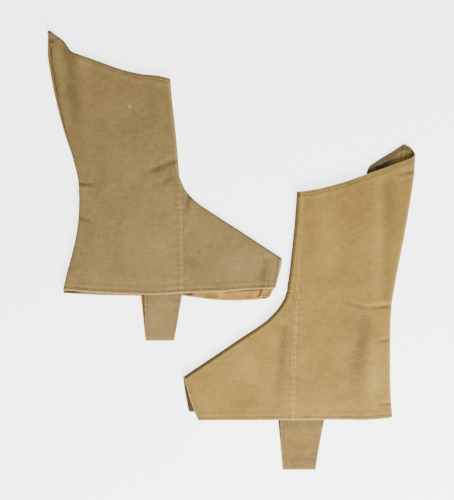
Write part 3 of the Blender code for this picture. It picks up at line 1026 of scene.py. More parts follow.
@dataclass
class Spat:
    """One spat: its panels, strap, closure strip and stitching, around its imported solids."""

    pattern: Pattern
    thread: bpy.types.Material
    leg_columns: int = 104
    leg_lines: int = 226
    vamp_columns: int = 76
    vamp_lines: int = 84
    stitch_pitch: float = 2.9
    stitch_length: float = 2.2
    stitch_width: float = 0.7
    canvas: bpy.types.Material = field(init=False)
    inner_canvas: bpy.types.Material = field(init=False)
    origin: tuple[float, float] = field(init=False)
    broad: Ripple = field(init=False)
    fine: Ripple = field(init=False)

    def __post_init__(self) -> None:
        """Reads where the spat lies from its packed strap, and makes its canvas."""
        low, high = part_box(f"{self.pattern.side}_strap")
        heel_x, lowest_y = self.pattern.strap_anchor
        strap_x = low[0] if self.pattern.toe_way > 0 else high[0]
        self.origin = (
            strap_x - self.pattern.toe_way * heel_x * MM,
            low[1] - lowest_y * MM,
        )
        self.canvas = self.pattern.canvas.material()
        self.inner_canvas = self.pattern.inner_canvas.material()
        self.broad = Ripple(self.pattern.ripple_seed, 38, 110, 0.13)
        self.fine = Ripple(self.pattern.ripple_seed + 1, 9, 24, 0.035)

    def world(self, x: float, y: float, z: float) -> Vector:
        """Places a point of the spat's frame in the object's frame.

        Args:
            x: across.
            y: up the leg.
            z: height.

        Returns:
            The place in metres.
        """
        return Vector((self.origin[0] + self.pattern.toe_way * x * MM, self.origin[1] + y * MM, z * MM))

    # ------------------------------------------------ outlines

    @property
    def last_row(self) -> int:
        """Number of the leg's highest row."""
        return len(self.pattern.leg) - 1

    def vamp_table(self, layer: Layer) -> tuple[Station, ...]:
        """The stations of the vamp on one side of the tube."""
        return self.pattern.upper_vamp if layer is Layer.UPPER else self.pattern.under_vamp

    def leg_line(
        self, place: np.ndarray, share: np.ndarray, hem_lift: Any, top_lift: Any
    ) -> tuple[np.ndarray, np.ndarray]:
        """Points on lines across the leg, moved by the hem's or the top's own lift near that end.

        Args:
            place: row numbers.
            share: shares of the way from back to front.
            hem_lift: the hem's lift.
            top_lift: the top's lift.

        Returns:
            x and y.
        """
        row = smooth_row(self.pattern.leg, place)
        climb = np.asarray(place) / self.last_row
        x = row.back_x + share * (row.front_x - row.back_x)
        y = row.back_y + share * (row.front_y - row.back_y)
        return x, y + hem_lift * (1 - climb) ** HEM_FADE + top_lift * climb**TOP_FADE

    def leg_point(self, place: np.ndarray, share: np.ndarray, layer: Layer) -> tuple[np.ndarray, np.ndarray]:
        """Points of the leg.

        Args:
            place: row numbers.
            share: shares of the way from back to front.
            layer: the side of the tube.

        Returns:
            x and y.
        """
        shares, upper_hem, under_hem, upper_top, under_top = zip(*self.pattern.edges)
        hem, top = (upper_hem, upper_top) if layer is Layer.UPPER else (under_hem, under_top)
        return self.leg_line(place, share, smooth(shares, hem, share), smooth(shares, top, share))

    def leg_share(self, place: np.ndarray, inset: Any) -> np.ndarray:
        """The share of the way across the leg at a distance in from the back edge."""
        row = smooth_row(self.pattern.leg, place)
        return inset / (row.front_x - row.back_x)

    def back_path(self) -> np.ndarray:
        """The back edge of the cloth that faces up, from the hem to the top."""
        return np.array([(row.back_x + row.reveal, row.back_y) for row in self.smooth_leg()])

    def smooth_leg(self) -> list[LegRow]:
        """The leg's rows with seven more between each two."""
        places = np.linspace(0, self.last_row, 8 * self.last_row + 1)
        return [LegRow(*values) for values in zip(*smooth_row(self.pattern.leg, places))]

    def front_path(self) -> np.ndarray:
        """The front outline, from the toe along the instep and up the shin.

        Returns:
            The outline's points.
        """
        places = np.linspace(len(self.pattern.upper_vamp) - 1, 0, 49)
        stations = smooth_row(self.pattern.upper_vamp, places)
        instep = list(zip(stations.instep_x, stations.instep_y))
        apex_y = self.pattern.leg[self.pattern.apex_row].front_y
        shin = [(r.front_x + r.turn, r.front_y) for r in self.smooth_leg() if r.front_y > apex_y]
        if self.pattern.leg[self.pattern.apex_row].turn:
            instep = [point for point in instep if point[0] > shin[0][0]]
        return np.array(instep + shin)

    def seam_path(self, layer: Layer, offset: float = 0.0) -> np.ndarray:
        """The seam between leg and vamp, from the hem to the apex.

        Args:
            layer: the side of the tube.
            offset: how far towards the toe the path is moved.

        Returns:
            The path's points.
        """
        places = np.linspace(0, self.pattern.apex_row, 60)
        x, y = self.leg_point(places, np.ones(60), layer)
        return np.column_stack([x + offset, y])

    def lap_x(self, y: np.ndarray, layer: Layer) -> np.ndarray:
        """Where the leg's front edge lies below the apex.

        Args:
            y: heights up the leg.
            layer: the side of the tube.

        Returns:
            x of the edge.
        """
        places = np.linspace(0, self.pattern.apex_row, 120)
        x, seam_y = self.leg_point(places, np.ones(120), layer)
        lap = smooth_row(self.pattern.leg, places).lap
        return np.interp(y, seam_y, x + lap)

    # ------------------------------------------------ heights

    def crease_height(self, creases: Sequence[Crease], x: np.ndarray, y: np.ndarray) -> np.ndarray:
        """Adds up soft troughs and ridges.

        Args:
            creases: the troughs and ridges.
            x: across.
            y: up the leg.

        Returns:
            Heights.
        """
        total = np.zeros(np.shape(x))
        for crease in creases:
            run = np.array([crease.end_x - crease.start_x, crease.end_y - crease.start_y])
            t = ((x - crease.start_x) * run[0] + (y - crease.start_y) * run[1]) / (run @ run)
            path = np.array([[crease.start_x, crease.start_y], [crease.end_x, crease.end_y]])
            strength = 1 + (crease.fade - 1) * np.clip(t, 0, 1)
            total += crease.height * strength * hump(path_distance(path, x, y), crease.half_width)
        return total

    def seam_relief(self, x: np.ndarray, y: np.ndarray, layer: Layer) -> np.ndarray:
        """The felled seam's own thickness, with its stitch grooves and puckers.

        Args:
            x: across.
            y: up the leg.
            layer: the side of the tube.

        Returns:
            Heights above the cloth round it.
        """
        gap = path_distance(self.seam_path(layer), x, y)
        rise = SEAM_RISE * step_down(gap, SEAM_HALF_WIDTH, 0.35)
        groove = -0.13 * hump(gap - STITCH_OFFSET, 0.7)
        roping = 0.14 * np.sin(y * ROPING_WAVE + 1.3 * np.sin(y * 0.19)) * hump(gap, 6.5)
        return rise + groove + roping

    def hem_relief(self, gap: np.ndarray, along: np.ndarray) -> np.ndarray:
        """The doubled cloth at a turned edge, with its stitch groove and small puckers.

        Args:
            gap: distance in from the edge.
            along: distance along the edge.

        Returns:
            Heights above the cloth further in.
        """
        doubled = 0.22 * step_down(gap, TURNING, 0.8)
        groove = -0.22 * hump(gap - HEM_STITCH_INSET, 0.8)
        puckers = 0.07 * np.sin(along * 0.74 + 1.6 * np.sin(along * 0.13)) * hump(gap, 7)
        return doubled + groove + puckers

    def upper_height(self, x: np.ndarray, y: np.ndarray) -> np.ndarray:
        """Height of the outer face of the cloth that faces up, before its seam and hems.

        Args:
            x: across.
            y: up the leg.

        Returns:
            Heights above the surface.
        """
        full = REST_HEIGHT + self.broad.at(x, y) + self.fine.at(x, y)
        full = full + self.crease_height(self.pattern.creases, x, y)
        back_edge = EDGE_HEIGHT if self.pattern.back_turn else PLACKET_EDGE_HEIGHT
        front_gap = path_distance(self.front_path(), x, y)
        back_gap = path_distance(self.back_path(), x, y)
        down = (full - EDGE_HEIGHT) * fallen(front_gap, self.pattern.front_radius)
        down = down + (full - back_edge) * fallen(back_gap, BACK_ROLL)
        return np.maximum(full - down, EDGE_HEIGHT)

    def under_height(self, x: np.ndarray, y: np.ndarray) -> np.ndarray:
        """Height of the outer face of the cloth that faces down, before its seam and hems.

        Args:
            x: across.
            y: up the leg.

        Returns:
            Heights above the surface.
        """
        lift = self.crease_height(self.pattern.under_creases, x, y)
        height = FLOAT_HEIGHT + 0.4 * self.broad.at(x, y) + np.abs(lift)
        front_gap = path_distance(self.front_path(), x, y)
        return np.maximum(height + 0.7 * fallen(front_gap, 1.6), UNDER_RIM)

    def tone_at(self, x: np.ndarray, y: np.ndarray, layer: Layer) -> np.ndarray:
        """How much paler or darker than its base the cloth is, painted shade and highlight included.

        Args:
            x: across.
            y: up the leg.
            layer: the side of the tube.

        Returns:
            Tones about 0.
        """
        upper = layer is Layer.UPPER
        creases = self.pattern.creases if upper else ()
        # Painted shade and highlight: the cloth is darkened in the troughs of the creases and ripples and
        # lightened on their ridges, in step with their height.
        tone = 0.34 * self.crease_height(creases, x, y) + 0.7 * self.fine.at(x, y)
        if upper:
            tone = tone + self.patch_tone(self.pattern.patches, x, y)
        seam_gap = path_distance(self.seam_path(layer), x, y)
        tone = tone + 0.14 * hump(seam_gap, 2.6) - 0.1 * hump(seam_gap - 4.0, 0.9)
        if upper:
            front_gap = path_distance(self.front_path(), x, y)
            # Painted shade: a darker band along the roll at the shin and instep, where the cloth turns away
            # from the light, with a paler line just inside it.
            band = self.pattern.front_shade_band
            tone = tone - 0.42 * step_down(front_gap, band, 0.7)
            tone = tone + 0.22 * hump(front_gap - band - 1.4, 0.9)
            shin_seam = smooth_row(self.pattern.leg, np.linspace(self.pattern.apex_row, self.last_row, 30))
            if shin_seam.turn.max() > 0:
                path = np.column_stack([shin_seam.front_x, shin_seam.front_y])
                tone = tone + 0.28 * hump(path_distance(path, x, y), 1.4)
        return tone

    def patch_tone(self, patches: Sequence[Patch], x: np.ndarray, y: np.ndarray) -> np.ndarray:
        """Adds up round places of other tones.

        Args:
            patches: the places.
            x: across.
            y: up the leg.

        Returns:
            Tones.
        """
        total = np.zeros(np.broadcast(x, y).shape)
        for patch in patches:
            total = total + patch.tone * hump(np.hypot(x - patch.x, y - patch.y), patch.radius)
        return total

    # ------------------------------------------------ panels

    def _rows_with_turnings(self, count: int, length: float) -> tuple[np.ndarray, np.ndarray, np.ndarray]:
        """Lines of a panel with both ends turned in.

        Args:
            count: full lines between the ends.
            length: of the panel, in millimetres.

        Returns:
            Share of the way up, overhang beyond that line (downwards at the hem) and drop.
        """
        steps = EDGE.steps()
        hem = [(inset / length, -over, drop) for inset, over, drop in reversed(steps)]
        shares = edge_packed(count, 0.6, 0.6)
        apex = self.pattern.apex_row / self.last_row
        shares[np.abs(shares - apex).argmin()] = apex
        body = [(share, 0.0, 0.0) for share in shares]
        top = [(1 - inset / length, over, drop) for inset, over, drop in steps]
        up, over, drop = (np.array(column) for column in zip(*hem, *body, *top))
        return up, over, drop

    def leg(self, layer: Layer) -> bpy.types.Object:
        """Builds a leg panel with its hem and top turned in.

        Args:
            layer: the side of the tube.

        Returns:
            The panel.
        """
        upper = layer is Layer.UPPER
        leg = self.pattern.leg
        up, over, drop = self._rows_with_turnings(self.leg_lines, leg[-1].back_y - leg[0].back_y)
        place = (up * self.last_row)[:, None]
        row = smooth_row(leg, place)
        width = row.front_x - row.back_x
        columns: list[tuple[np.ndarray, ...]] = []
        if upper:
            columns += self._back_turn_columns(place)
            first, start, crowd = 0.0, row.reveal / width, 1.0
        else:
            first = max(self.pattern.back_turn - BACK_LAP, 0.0)
            start, crowd = first / width, 0.6
        end = 1 + (row.lap - SEAM_GAP) / width
        for share in edge_packed(self.leg_columns, crowd, crowd):
            x, y = self.leg_point(place, start + share * (end - start), layer)
            z = self._leg_height(x, y, layer)
            if first:
                z = z + (CLOTH_WALL + LAP_GAP) * step_down(x - row.back_x - first, BACK_LAP + 0.9, 0.5)
            columns.append((x, y, z, self.tone_at(x, y, layer)))
        turned = not upper and any(r.turn for r in leg)
        first_turned = len(columns) - 1
        if turned:
            columns += self._shin_turn_columns(place, columns[-1][0])
        x, y, z, tone = (np.hstack(part) for part in zip(*columns))
        y = y + HEM_RADIUS * ((1 - up) ** LEG_ROLL_FADE - up**LEG_ROLL_FADE)[:, None]
        body = np.flatnonzero((drop == 0) & (over == 0))
        hem_gap = np.clip(np.minimum(y - y[body[0]], y[body[-1]] - y), 0, None)
        outer = np.stack([x, y, z], axis=-1)
        inside = self.inward(outer, body, up, -1 if upper else 1)
        relief = self.hem_relief(hem_gap, x) * (drop[:, None] == 0)
        outer = outer + inside * (2 * HEM_RADIUS * drop[:, None] - relief)[..., None]
        outer[..., 1] += over[:, None]
        in_top = up[:, None] > 0.5
        # The hem's edge is paler, partly rubbed wear and partly a painted highlight on its roll; the top's
        # edge takes the pattern's tone, and both get painted shade just behind them.
        top_tone, hem_tone = (self.edge_tone_and_shade(hem_gap, edge) for edge in (self.pattern.top_tone, 0.5))
        tone = tone + np.where(in_top, top_tone, hem_tone)
        # Painted shade on the cloth turned inside the top, which lies in the opening's shade.
        tone = tone + self.pattern.lip_shade * (in_top & (drop[:, None] > INNER_DROP))
        x, y, z = np.moveaxis(outer, -1, 0)
        z = np.maximum(z, LOWEST)
        # The inside face takes patches of its own; the dark ones are painted shade where it shows in the
        # openings.
        inside_tone = tone + self.patch_tone(self.pattern.inside_patches_and_shade, x, y)
        tone = np.where(drop[:, None] > INNER_DROP, inside_tone, tone)
        sheet = Sheet(f"{self.pattern.side}_leg_{layer.value}", x, y, z, tone, inside_tone)
        apex_line = int(np.argmax((up > self.pattern.apex_row / self.last_row - 1e-6) & (drop == 0)))

        def is_cloth(line: int, column: int) -> bool:
            """Below the apex the under side has no cloth beyond the vamp seam."""
            return column < first_turned or line >= apex_line

        return sheet.piece(self, faces_up=upper, keep=is_cloth if turned else None)

    def inward(self, outer: np.ndarray, body: np.ndarray, up: np.ndarray, way: int) -> np.ndarray:
        """Directions from a sheet's outer face into the spat.

        Args:
            outer: points of the outer face, by line and column.
            body: numbers of the full lines, which aren't part of a turned edge.
            up: share of the way up at every line.
            way: 1 or -1, whichever makes the cross product of column and line point inwards.

        Returns:
            A unit direction for each point; a turned line takes that of the line it lies on.
        """
        across = np.gradient(outer[body], axis=1)
        along = np.gradient(outer[body], axis=0)
        normal = way * np.cross(across, along)
        normal /= np.linalg.norm(normal, axis=-1, keepdims=True) + 1e-9
        nearest = np.abs(up[:, None] - up[body][None, :]).argmin(axis=1)
        return normal[nearest]

    def edge_tone_and_shade(self, gap: np.ndarray, edge: float) -> np.ndarray:
        """A line along a turned edge at a tone of its own, with painted shade in the ditch just behind it
        and a darker line along its stitches' groove.

        Args:
            gap: distance in from the edge.
            edge: tone of the edge itself.

        Returns:
            Tones.
        """
        return edge * hump(gap, 1.0) - 0.4 * hump(gap - 2.1, 0.8) - 0.15 * hump(gap - HEM_STITCH_INSET, 1.0)

    def _leg_height(self, x: np.ndarray, y: np.ndarray, layer: Layer) -> np.ndarray:
        """Height of a leg panel's outer face, its felled seam included.

        Args:
            x: across.
            y: up the leg.
            layer: the side of the tube.

        Returns:
            Heights above the surface.
        """
        if layer is Layer.UPPER:
            return self.upper_height(x, y) + self.seam_relief(x, y, layer)
        return np.maximum(self.under_height(x, y) - 0.8 * self.seam_relief(x, y, layer), UNDER_LOWEST)

    def _back_turn_columns(self, place: np.ndarray) -> list[tuple[np.ndarray, ...]]:
        """Columns that carry the upper leg panel round the back fold and in under the spat.

        Args:
            place: the panel's row numbers.

        Returns:
            x, y, height and tone of each column, from the innermost out to the fold.
        """
        turn = self.pattern.back_turn
        if not turn:
            return []
        flat = [(inset, 0.0) for inset in np.linspace(turn, FOLD_RADIUS, 9)[:-1]]
        angles = np.linspace(math.pi / 2, 0, 9)[:-1]
        bend = [(FOLD_RADIUS * (1 - math.cos(a)), 1 - math.sin(a)) for a in angles]
        insets, lifts = zip(*self.pattern.back_lifts)
        columns = []
        for inset, rise in flat + bend:
            share = self.leg_share(place, inset)
            x, y = self.leg_line(place, share, 0.0, float(smooth(insets, lifts, np.array(inset))))
            low = self.under_height(x, y)
            z = low + (EDGE_HEIGHT - low) * rise
            columns.append((x, y, z, self.tone_at(x, y, Layer.UNDER)))
        return columns

    def _shin_turn_columns(self, place: np.ndarray, flat_x: np.ndarray) -> list[tuple[np.ndarray, ...]]:
        """Columns that carry the under leg panel round the shin and on to the seam on top.

        Args:
            place: the panel's row numbers.
            flat_x: where the panel's flat part ends.

        Returns:
            x, y, height and tone of each column, from below round to the seam.
        """
        row = smooth_row(self.pattern.leg, place)
        _, seam_y = self.leg_point(place, np.ones_like(place), Layer.UPPER)
        shin_x = row.front_x + np.maximum(row.turn, 5.0)
        columns = []
        for share in np.linspace(0, 1, 8)[1:-1]:
            x = flat_x + share * (shin_x - FOLD_RADIUS - flat_x)
            z = self.under_height(x, seam_y)
            columns.append((x, seam_y + 0 * x, z, self.tone_at(x, seam_y, Layer.UPPER)))
        for angle in np.linspace(math.pi / 2, 0, 9):
            x = shin_x - FOLD_RADIUS * (1 - math.cos(angle))
            low = np.full_like(x, FLOAT_HEIGHT)
            z = low + (EDGE_HEIGHT - low) * (1 - math.sin(angle))
            columns.append((x, seam_y + 0 * x, z, self.tone_at(x, seam_y, Layer.UPPER)))
        seam_x = row.front_x + SEAM_GAP
        for share in edge_packed(16, 1.0, 0.0)[1:]:
            x = shin_x + share * (seam_x - shin_x)
            z = self.upper_height(x, seam_y) - 0.12 * share
            columns.append((x, seam_y + 0 * x, z, self.tone_at(x, seam_y, Layer.UPPER)))
        return columns

    def vamp(self, layer: Layer) -> bpy.types.Object:
        """Builds a vamp panel, its hem and its toe edge turned in.

        Args:
            layer: the side of the tube.

        Returns:
            The panel.
        """
        upper = layer is Layer.UPPER
        table = self.vamp_table(layer)
        turning = TURNING if upper else self.pattern.under_turning
        steps = TurnedEdge(turning=turning).steps()
        inset, over, drop = (np.array(part) for part in zip(*steps))
        shares = edge_packed(self.vamp_columns, 0.2, 0.6)
        hem_x = smooth_row(table, shares * (len(table) - 1)).hem_x
        join = np.interp(hem_x[-1] - turning + TOE_LAP, hem_x, shares)
        join_column = int(np.abs(shares - join).argmin())
        shares[join_column] = join
        none_across = np.zeros(len(shares))
        share = np.concatenate([shares, np.ones(len(steps))])[None, :]
        toe_inset = np.concatenate([none_across, inset])[None, :]
        toe_over = np.concatenate([none_across, over])[None, :]
        toe_drop = np.concatenate([none_across, drop])[None, :]
        station = smooth_row(table, share * (len(table) - 1))
        height = station.instep_y - station.hem_y
        rises = edge_packed(self.vamp_lines, 0.5, 1.0)[:, None] + 0 * height
        rise = np.vstack([inset[::-1, None] / height, rises])
        none_up = np.zeros(len(rises))
        hem_over = np.concatenate([-over[::-1], none_up])[:, None]
        hem_drop = np.concatenate([drop[::-1], none_up])[:, None]
        x = station.hem_x + rise * (station.instep_x - station.hem_x)
        x = x + 4 * station.bow * rise * (1 - rise) - toe_inset
        y = station.hem_y + rise * height
        seam_x = self.lap_x(y[:, :1], layer) + SEAM_GAP
        x = x + (1 - share) ** SEAM_FADE * (seam_x - x[:, :1]) - HEM_RADIUS * share**VAMP_ROLL_FADE
        y = y + HEM_RADIUS * (1 - rise) ** VAMP_ROLL_FADE
        z = self.upper_height(x, y) if upper else self.under_height(x, y)
        z = z + (1 if upper else -1) * 0.05 * np.sin(y * ROPING_WAVE) * hump(x - seam_x, 5)
        hem_gap = np.clip(y - y[len(steps)], 0, None)
        toe_gap = np.clip(x[:, [len(shares) - 1]] - x, 0, None)
        relief = self.hem_relief(hem_gap, x) + self.hem_relief(toe_gap, y)
        relief = relief * (hem_drop == 0) * (toe_drop == 0)
        inward = -1 if upper else 1
        z = z + inward * (2 * HEM_RADIUS * np.maximum(hem_drop, toe_drop) - relief)
        z = np.maximum(z + inward * TOE_RAISE * (toe_inset > 0), LOWEST)
        x, y = x + toe_over * (1 - hem_drop), y + hem_over * (1 - toe_drop)
        # The hem and toe edges are paler, partly rubbed wear and partly a painted highlight on their roll,
        # with painted shade just behind them.
        tone = self.tone_at(x, y, layer) + self.edge_tone_and_shade(np.minimum(hem_gap, toe_gap), 0.5)
        inner_line, inner_column = len(steps) - EDGE.round_steps, len(shares) + EDGE.round_steps - 1

        def is_cloth(line: int, column: int) -> bool:
            """The hem's turning stops at the toe's, which runs down to the hem.

            Args:
                line: number of the face's line.
                column: its place in that line.

            Returns:
                Whether the face is kept.
            """
            if line < inner_line:
                return column < join_column
            return line >= len(steps) or column < inner_column

        def is_turning(line: int, column: int) -> bool:
            """The turnings never faded, so they show the colour of the inside."""
            return not upper and (line < inner_line or column >= inner_column)

        # The inside face takes patches of its own; the dark ones are painted shade where it shows in the
        # openings.
        inside_tone = tone + self.patch_tone(self.pattern.inside_patches_and_shade, x, y) + MOTTLE * self.fine.at(x, y)
        tone = np.where(np.maximum(hem_drop, toe_drop) > INNER_DROP, inside_tone, tone)
        sheet = Sheet(f"{self.pattern.side}_vamp_{layer.value}", x, y, z, tone, inside_tone)
        return sheet.piece(self, faces_up=upper, keep=is_cloth, wrong_side=is_turning)

    def strap(self) -> bpy.types.Object:
        """Builds the instep strap, folded into a loop, with both ends inside the hem.

        Returns:
            The strap.
        """
        table = self.pattern.strap
        y_run = np.diff([row.y for row in table])
        z_run = np.diff([row.height for row in table])
        length = np.concatenate([[0], np.cumsum(np.hypot(y_run, z_run))])
        at = np.linspace(0, length[-1], 150)[:, None]
        y, z, heel_x, toe_x = (smooth(length, column, at) for column in zip(*table))
        share = edge_packed(36, 0.8, 0.8)[None, :]
        x = heel_x + share * (toe_x - heel_x)
        top = at < length[STRAP_END_ROW]
        side_gap = np.minimum(share, 1 - share) * (toe_x - heel_x)
        puff = 0.1 * step_down(side_gap, 7.0, 0.8) - 0.2 * hump(side_gap - STRAP_STITCH_INSET, 0.8)
        roll = -0.35 * fallen(side_gap, 1.2)
        sag = 0.12 * np.sin(x * 0.11 + y * 0.07) + self.fine.at(x, y)
        z = z + (puff + roll + sag) * top + 0.3 * fallen(side_gap, 1.2) * ~top
        # The strap is paler along its sides and darker along its stitch rows; a band of painted shadow lies
        # across it just below the hem's edge, and the inner face of its lower layer is darkened as painted
        # shade under the upper layer.
        tone = self.pattern.strap_tone + 0.5 * self.fine.at(x, y) + 0.6 * hump(side_gap, 1.2)
        tone = tone - 0.3 * hump(side_gap - STRAP_STITCH_INSET, 0.9) - 0.25 * hump(y + 9, 5) * top
        inside_tone = tone - 0.6 * ~top
        y = y + 0 * x
        sheet = Sheet(f"{self.pattern.side}_strap", x, y, z, tone, inside_tone, "strap_canvas")
        return sheet.piece(self, faces_up=True)

    def strip(self) -> bpy.types.Object:
        """Builds the closure's strip between the two sides.

        Returns:
            The strip.
        """
        pattern = self.pattern
        place = np.linspace(*pattern.strip_rows, 120)[:, None]
        share = edge_packed(22, 0.8, 0.4)[None, :]
        inset = pattern.strip_inset + share * pattern.strip_width
        x, y = self.leg_point(place, self.leg_share(place, inset), Layer.UNDER)
        gap = share * pattern.strip_width
        z = STRIP_HEIGHT + 0.4 * self.fine.at(x, y) - 0.7 * fallen(gap, 1.3) - 0.15 * hump(gap - 2.4, 0.7)
        top_gap = (pattern.strip_rows[1] - place) / (self.last_row) * (y.max() - y.min())
        # The strip takes the pattern's tone, on the right a painted shade, and is paler along its edge and
        # at its top.
        tone = pattern.strip_tone + 0.3 * self.tone_at(x, y, Layer.UNDER)
        tone = tone + 0.3 * hump(gap, 1.2) + 0.9 * hump(top_gap, 1.6)
        sheet = Sheet(f"{pattern.side}_{pattern.strip_name}", x, y, z, tone, tone, "closure_canvas")
        return sheet.piece(self, faces_up=True)

    # ------------------------------------------------ stitching

    def surface(self, x: np.ndarray, y: np.ndarray, layer: Layer) -> np.ndarray:
        """Height of the outer face at stitches near a seam or a hem.

        Args:
            x: across.
            y: up the leg.
            layer: the side of the tube.

        Returns:
            Heights above the surface.
        """
        if layer is Layer.UPPER:
            return self.upper_height(x, y) + THREAD_RISE
        return np.full(np.shape(x), UNDER_THREAD_HEIGHT)

    def hem_path(self, layer: Layer, inset: float) -> np.ndarray:
        """A path along the hem, from heel to toe.

        Args:
            layer: the side of the tube.
            inset: distance in from the hem.

        Returns:
            The path's points.
        """
        x, y = self.leg_point(np.zeros(40), np.linspace(0.02, 1, 40), layer)
        table = self.vamp_table(layer)
        station = smooth_row(table, np.linspace(0.3, len(table) - 1.2, 40))
        return np.column_stack([np.append(x, station.hem_x), np.append(y, station.hem_y) + inset])

    def top_path(self, layer: Layer, inset: float) -> np.ndarray:
        """A path along the top edge, from back to front.

        Args:
            layer: the side of the tube.
            inset: distance in from the edge.

        Returns:
            The path's points.
        """
        first = 0.03
        if layer is Layer.UNDER and self.pattern.back_turn:
            first = float(self.leg_share(np.array(self.last_row), self.pattern.back_turn + 1))
        x, y = self.leg_point(np.full(60, self.last_row), np.linspace(first, 0.985, 60), layer)
        return np.column_stack([x, y - inset])

    def toe_path(self, layer: Layer, inset: float) -> np.ndarray:
        """A path along the toe edge, from the hem to the instep.

        Args:
            layer: the side of the tube.
            inset: distance in from the edge.

        Returns:
            The path's points.
        """
        table = self.vamp_table(layer)
        last, rise = table[-1], np.linspace(0.06, 0.9, 20)
        x = last.hem_x + rise * (last.instep_x - last.hem_x) + 4 * last.bow * rise * (1 - rise)
        y = last.hem_y + rise * (last.instep_y - last.hem_y)
        return np.column_stack([x - inset, y])

    def stitches(
        self, name: str, paths: Sequence[np.ndarray], height: Callable[[np.ndarray, np.ndarray], np.ndarray]
    ) -> bpy.types.Object:
        """Sews rows of stitches into one piece.

        Args:
            name: what the rows hold, for the piece's name.
            paths: each row's path.
            height: the height of the thread's middle at points of the spat's frame.

        Returns:
            The stitches.
        """
        sewing = bmesh.new()
        half_length, half_width = self.stitch_length * MM / 2, self.stitch_width * MM / 2
        size = Matrix.Diagonal((half_length, half_width, half_width, 1))
        for path in paths:
            runs = np.hypot(*np.diff(path, axis=0).T)
            length = np.concatenate([[0], np.cumsum(runs)])
            for middle in np.arange(self.stitch_pitch, length[-1], self.stitch_pitch):
                ends = middle + np.array([-0.5, 0.5]) * self.stitch_length
                x, y = (np.interp(ends, length, path[:, axis]) for axis in (0, 1))
                z = height(x, y)
                start, end = self.world(x[0], y[0], z[0]), self.world(x[1], y[1], z[1])
                turn = (end - start).to_track_quat("X", "Z").to_matrix().to_4x4()
                place = Matrix.Translation((start + end) / 2) @ turn @ size
                bmesh.ops.create_uvsphere(sewing, u_segments=6, v_segments=5, radius=1, matrix=place)
        piece = new_object(f"{self.pattern.side}_{name}", sewing, self.thread)
        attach(piece, "root")
        return piece

    def strap_paths(self) -> list[np.ndarray]:
        """Rows along both sides of the strap's upper layer.

        Returns:
            The path of each row.
        """
        rows = self.pattern.strap[1:STRAP_TOP_ROWS]
        heel = np.array([(row.heel_x + STRAP_STITCH_INSET, row.y) for row in rows])
        toe = np.array([(row.toe_x - STRAP_STITCH_INSET, row.y) for row in rows])
        return [heel, toe]

    def strap_height(self, x: np.ndarray, y: np.ndarray) -> np.ndarray:
        """Height of stitches on the strap's upper layer."""
        rows = self.pattern.strap[:STRAP_TOP_ROWS]
        return np.interp(-y, [-row.y for row in rows], [row.height for row in rows]) - 0.02

    def build(self) -> dict[str, bpy.types.Object]:
        """Builds every piece of the spat.

        Returns:
            The pieces by name.
        """
        made: dict[str, bpy.types.Object] = {}
        for layer in Layer:
            made[f"leg_{layer.value}"] = self.leg(layer)
            made[f"vamp_{layer.value}"] = self.vamp(layer)
        made["strap"] = self.strap()
        made["strip"] = self.strip()
        for layer in Layer:
            seam = [self.seam_path(layer, side * STITCH_OFFSET)[2:-6] for side in (-1, 1)]
            hems = [self.hem_path(layer, HEM_STITCH_INSET), self.toe_path(layer, HEM_STITCH_INSET)]
            hems.append(self.top_path(layer, HEM_STITCH_INSET))
            if self.pattern.tack and layer is Layer.UPPER:
                bar = np.array(self.pattern.tack, float)
                hems += [bar, bar - (0, 1.3)]

            def height(x: np.ndarray, y: np.ndarray, layer: Layer = layer) -> np.ndarray:
                """Height of the thread on this side."""
                return self.surface(x, y, layer)

            made[f"seam_thread_{layer.value}"] = self.stitches(f"seam_stitches_{layer.value}", seam, height)
            made[f"hem_thread_{layer.value}"] = self.stitches(f"hem_stitches_{layer.value}", hems, height)
        made["strap_thread"] = self.stitches("strap_stitches", self.strap_paths(), self.strap_height)
        return made


# ---------------------------------------------------------------- studio


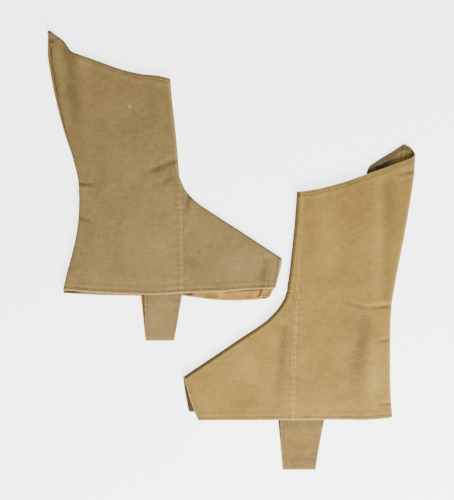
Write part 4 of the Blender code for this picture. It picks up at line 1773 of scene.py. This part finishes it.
@dataclass
class Studio:
    """A white paper floor, soft light from the lower right, and a camera overhead."""

    floor_side: float = 60.0
    view_long_side: float = 0.600  # what the view's long side takes in at the cloth
    aim: tuple[float, float, float] = (-0.0053, -0.0004, 0.003)
    lens: float = 85.0
    sensor: float = 36.0
    sky: float = 0.6  # strength of the light from everywhere
    key_place: tuple[float, float, float] = (0.55, -1.25, 0.62)
    key_side: float = 0.6
    key_power: float = 78.0

    def build(self) -> None:
        """Builds the floor, lights and camera."""
        self._floor()
        self._lights()
        self._camera()

    def _floor(self) -> None:
        """Lays the paper just under the cloth."""
        paper = bmesh.new()
        bmesh.ops.create_grid(paper, x_segments=1, y_segments=1, size=self.floor_side / 2)
        coat = Paper("white_paper", "#fbfbfa", "#f8f8f7").material()
        new_object("paper_floor", paper, coat)

    def _lights(self) -> None:
        """Hangs a soft key light low at the lower right, and fills from everywhere."""
        world = bpy.data.worlds.new("studio")
        world.use_nodes = True
        background = world.node_tree.nodes["Background"]
        background.inputs["Color"].default_value = (1.0, 1.0, 1.0, 1.0)
        background.inputs["Strength"].default_value = self.sky
        bpy.context.scene.world = world
        data = bpy.data.lights.new("key", "AREA")
        data.energy = self.key_power
        data.size = self.key_side
        lamp = bpy.data.objects.new("key", data)
        lamp.location = self.key_place
        lamp.rotation_euler = (-Vector(self.key_place)).to_track_quat("-Z", "Y").to_euler()
        bpy.context.scene.collection.objects.link(lamp)

    def _camera(self) -> None:
        """Looks straight down at the pair."""
        data = bpy.data.cameras.new("overhead")
        data.lens = self.lens
        data.sensor_width = self.sensor
        camera = bpy.data.objects.new("overhead", data)
        distance = self.view_long_side * self.lens / self.sensor
        camera.location = Vector(self.aim) + Vector((0, 0, distance))
        bpy.context.scene.collection.objects.link(camera)
        bpy.context.scene.camera = camera


def main() -> None:
    """Builds the studio and both spats, and reports each piece."""
    logging.basicConfig(level=logging.INFO, format="%(name)s: %(message)s")
    Studio().build()
    for pattern in (LEFT, RIGHT):
        thread = pattern.thread.material()
        for name, piece in Spat(pattern, thread).build().items():
            LOG.info("%s %s: %d faces", pattern.side, name, len(piece.data.polygons))


if __name__ == "__main__":
    main()
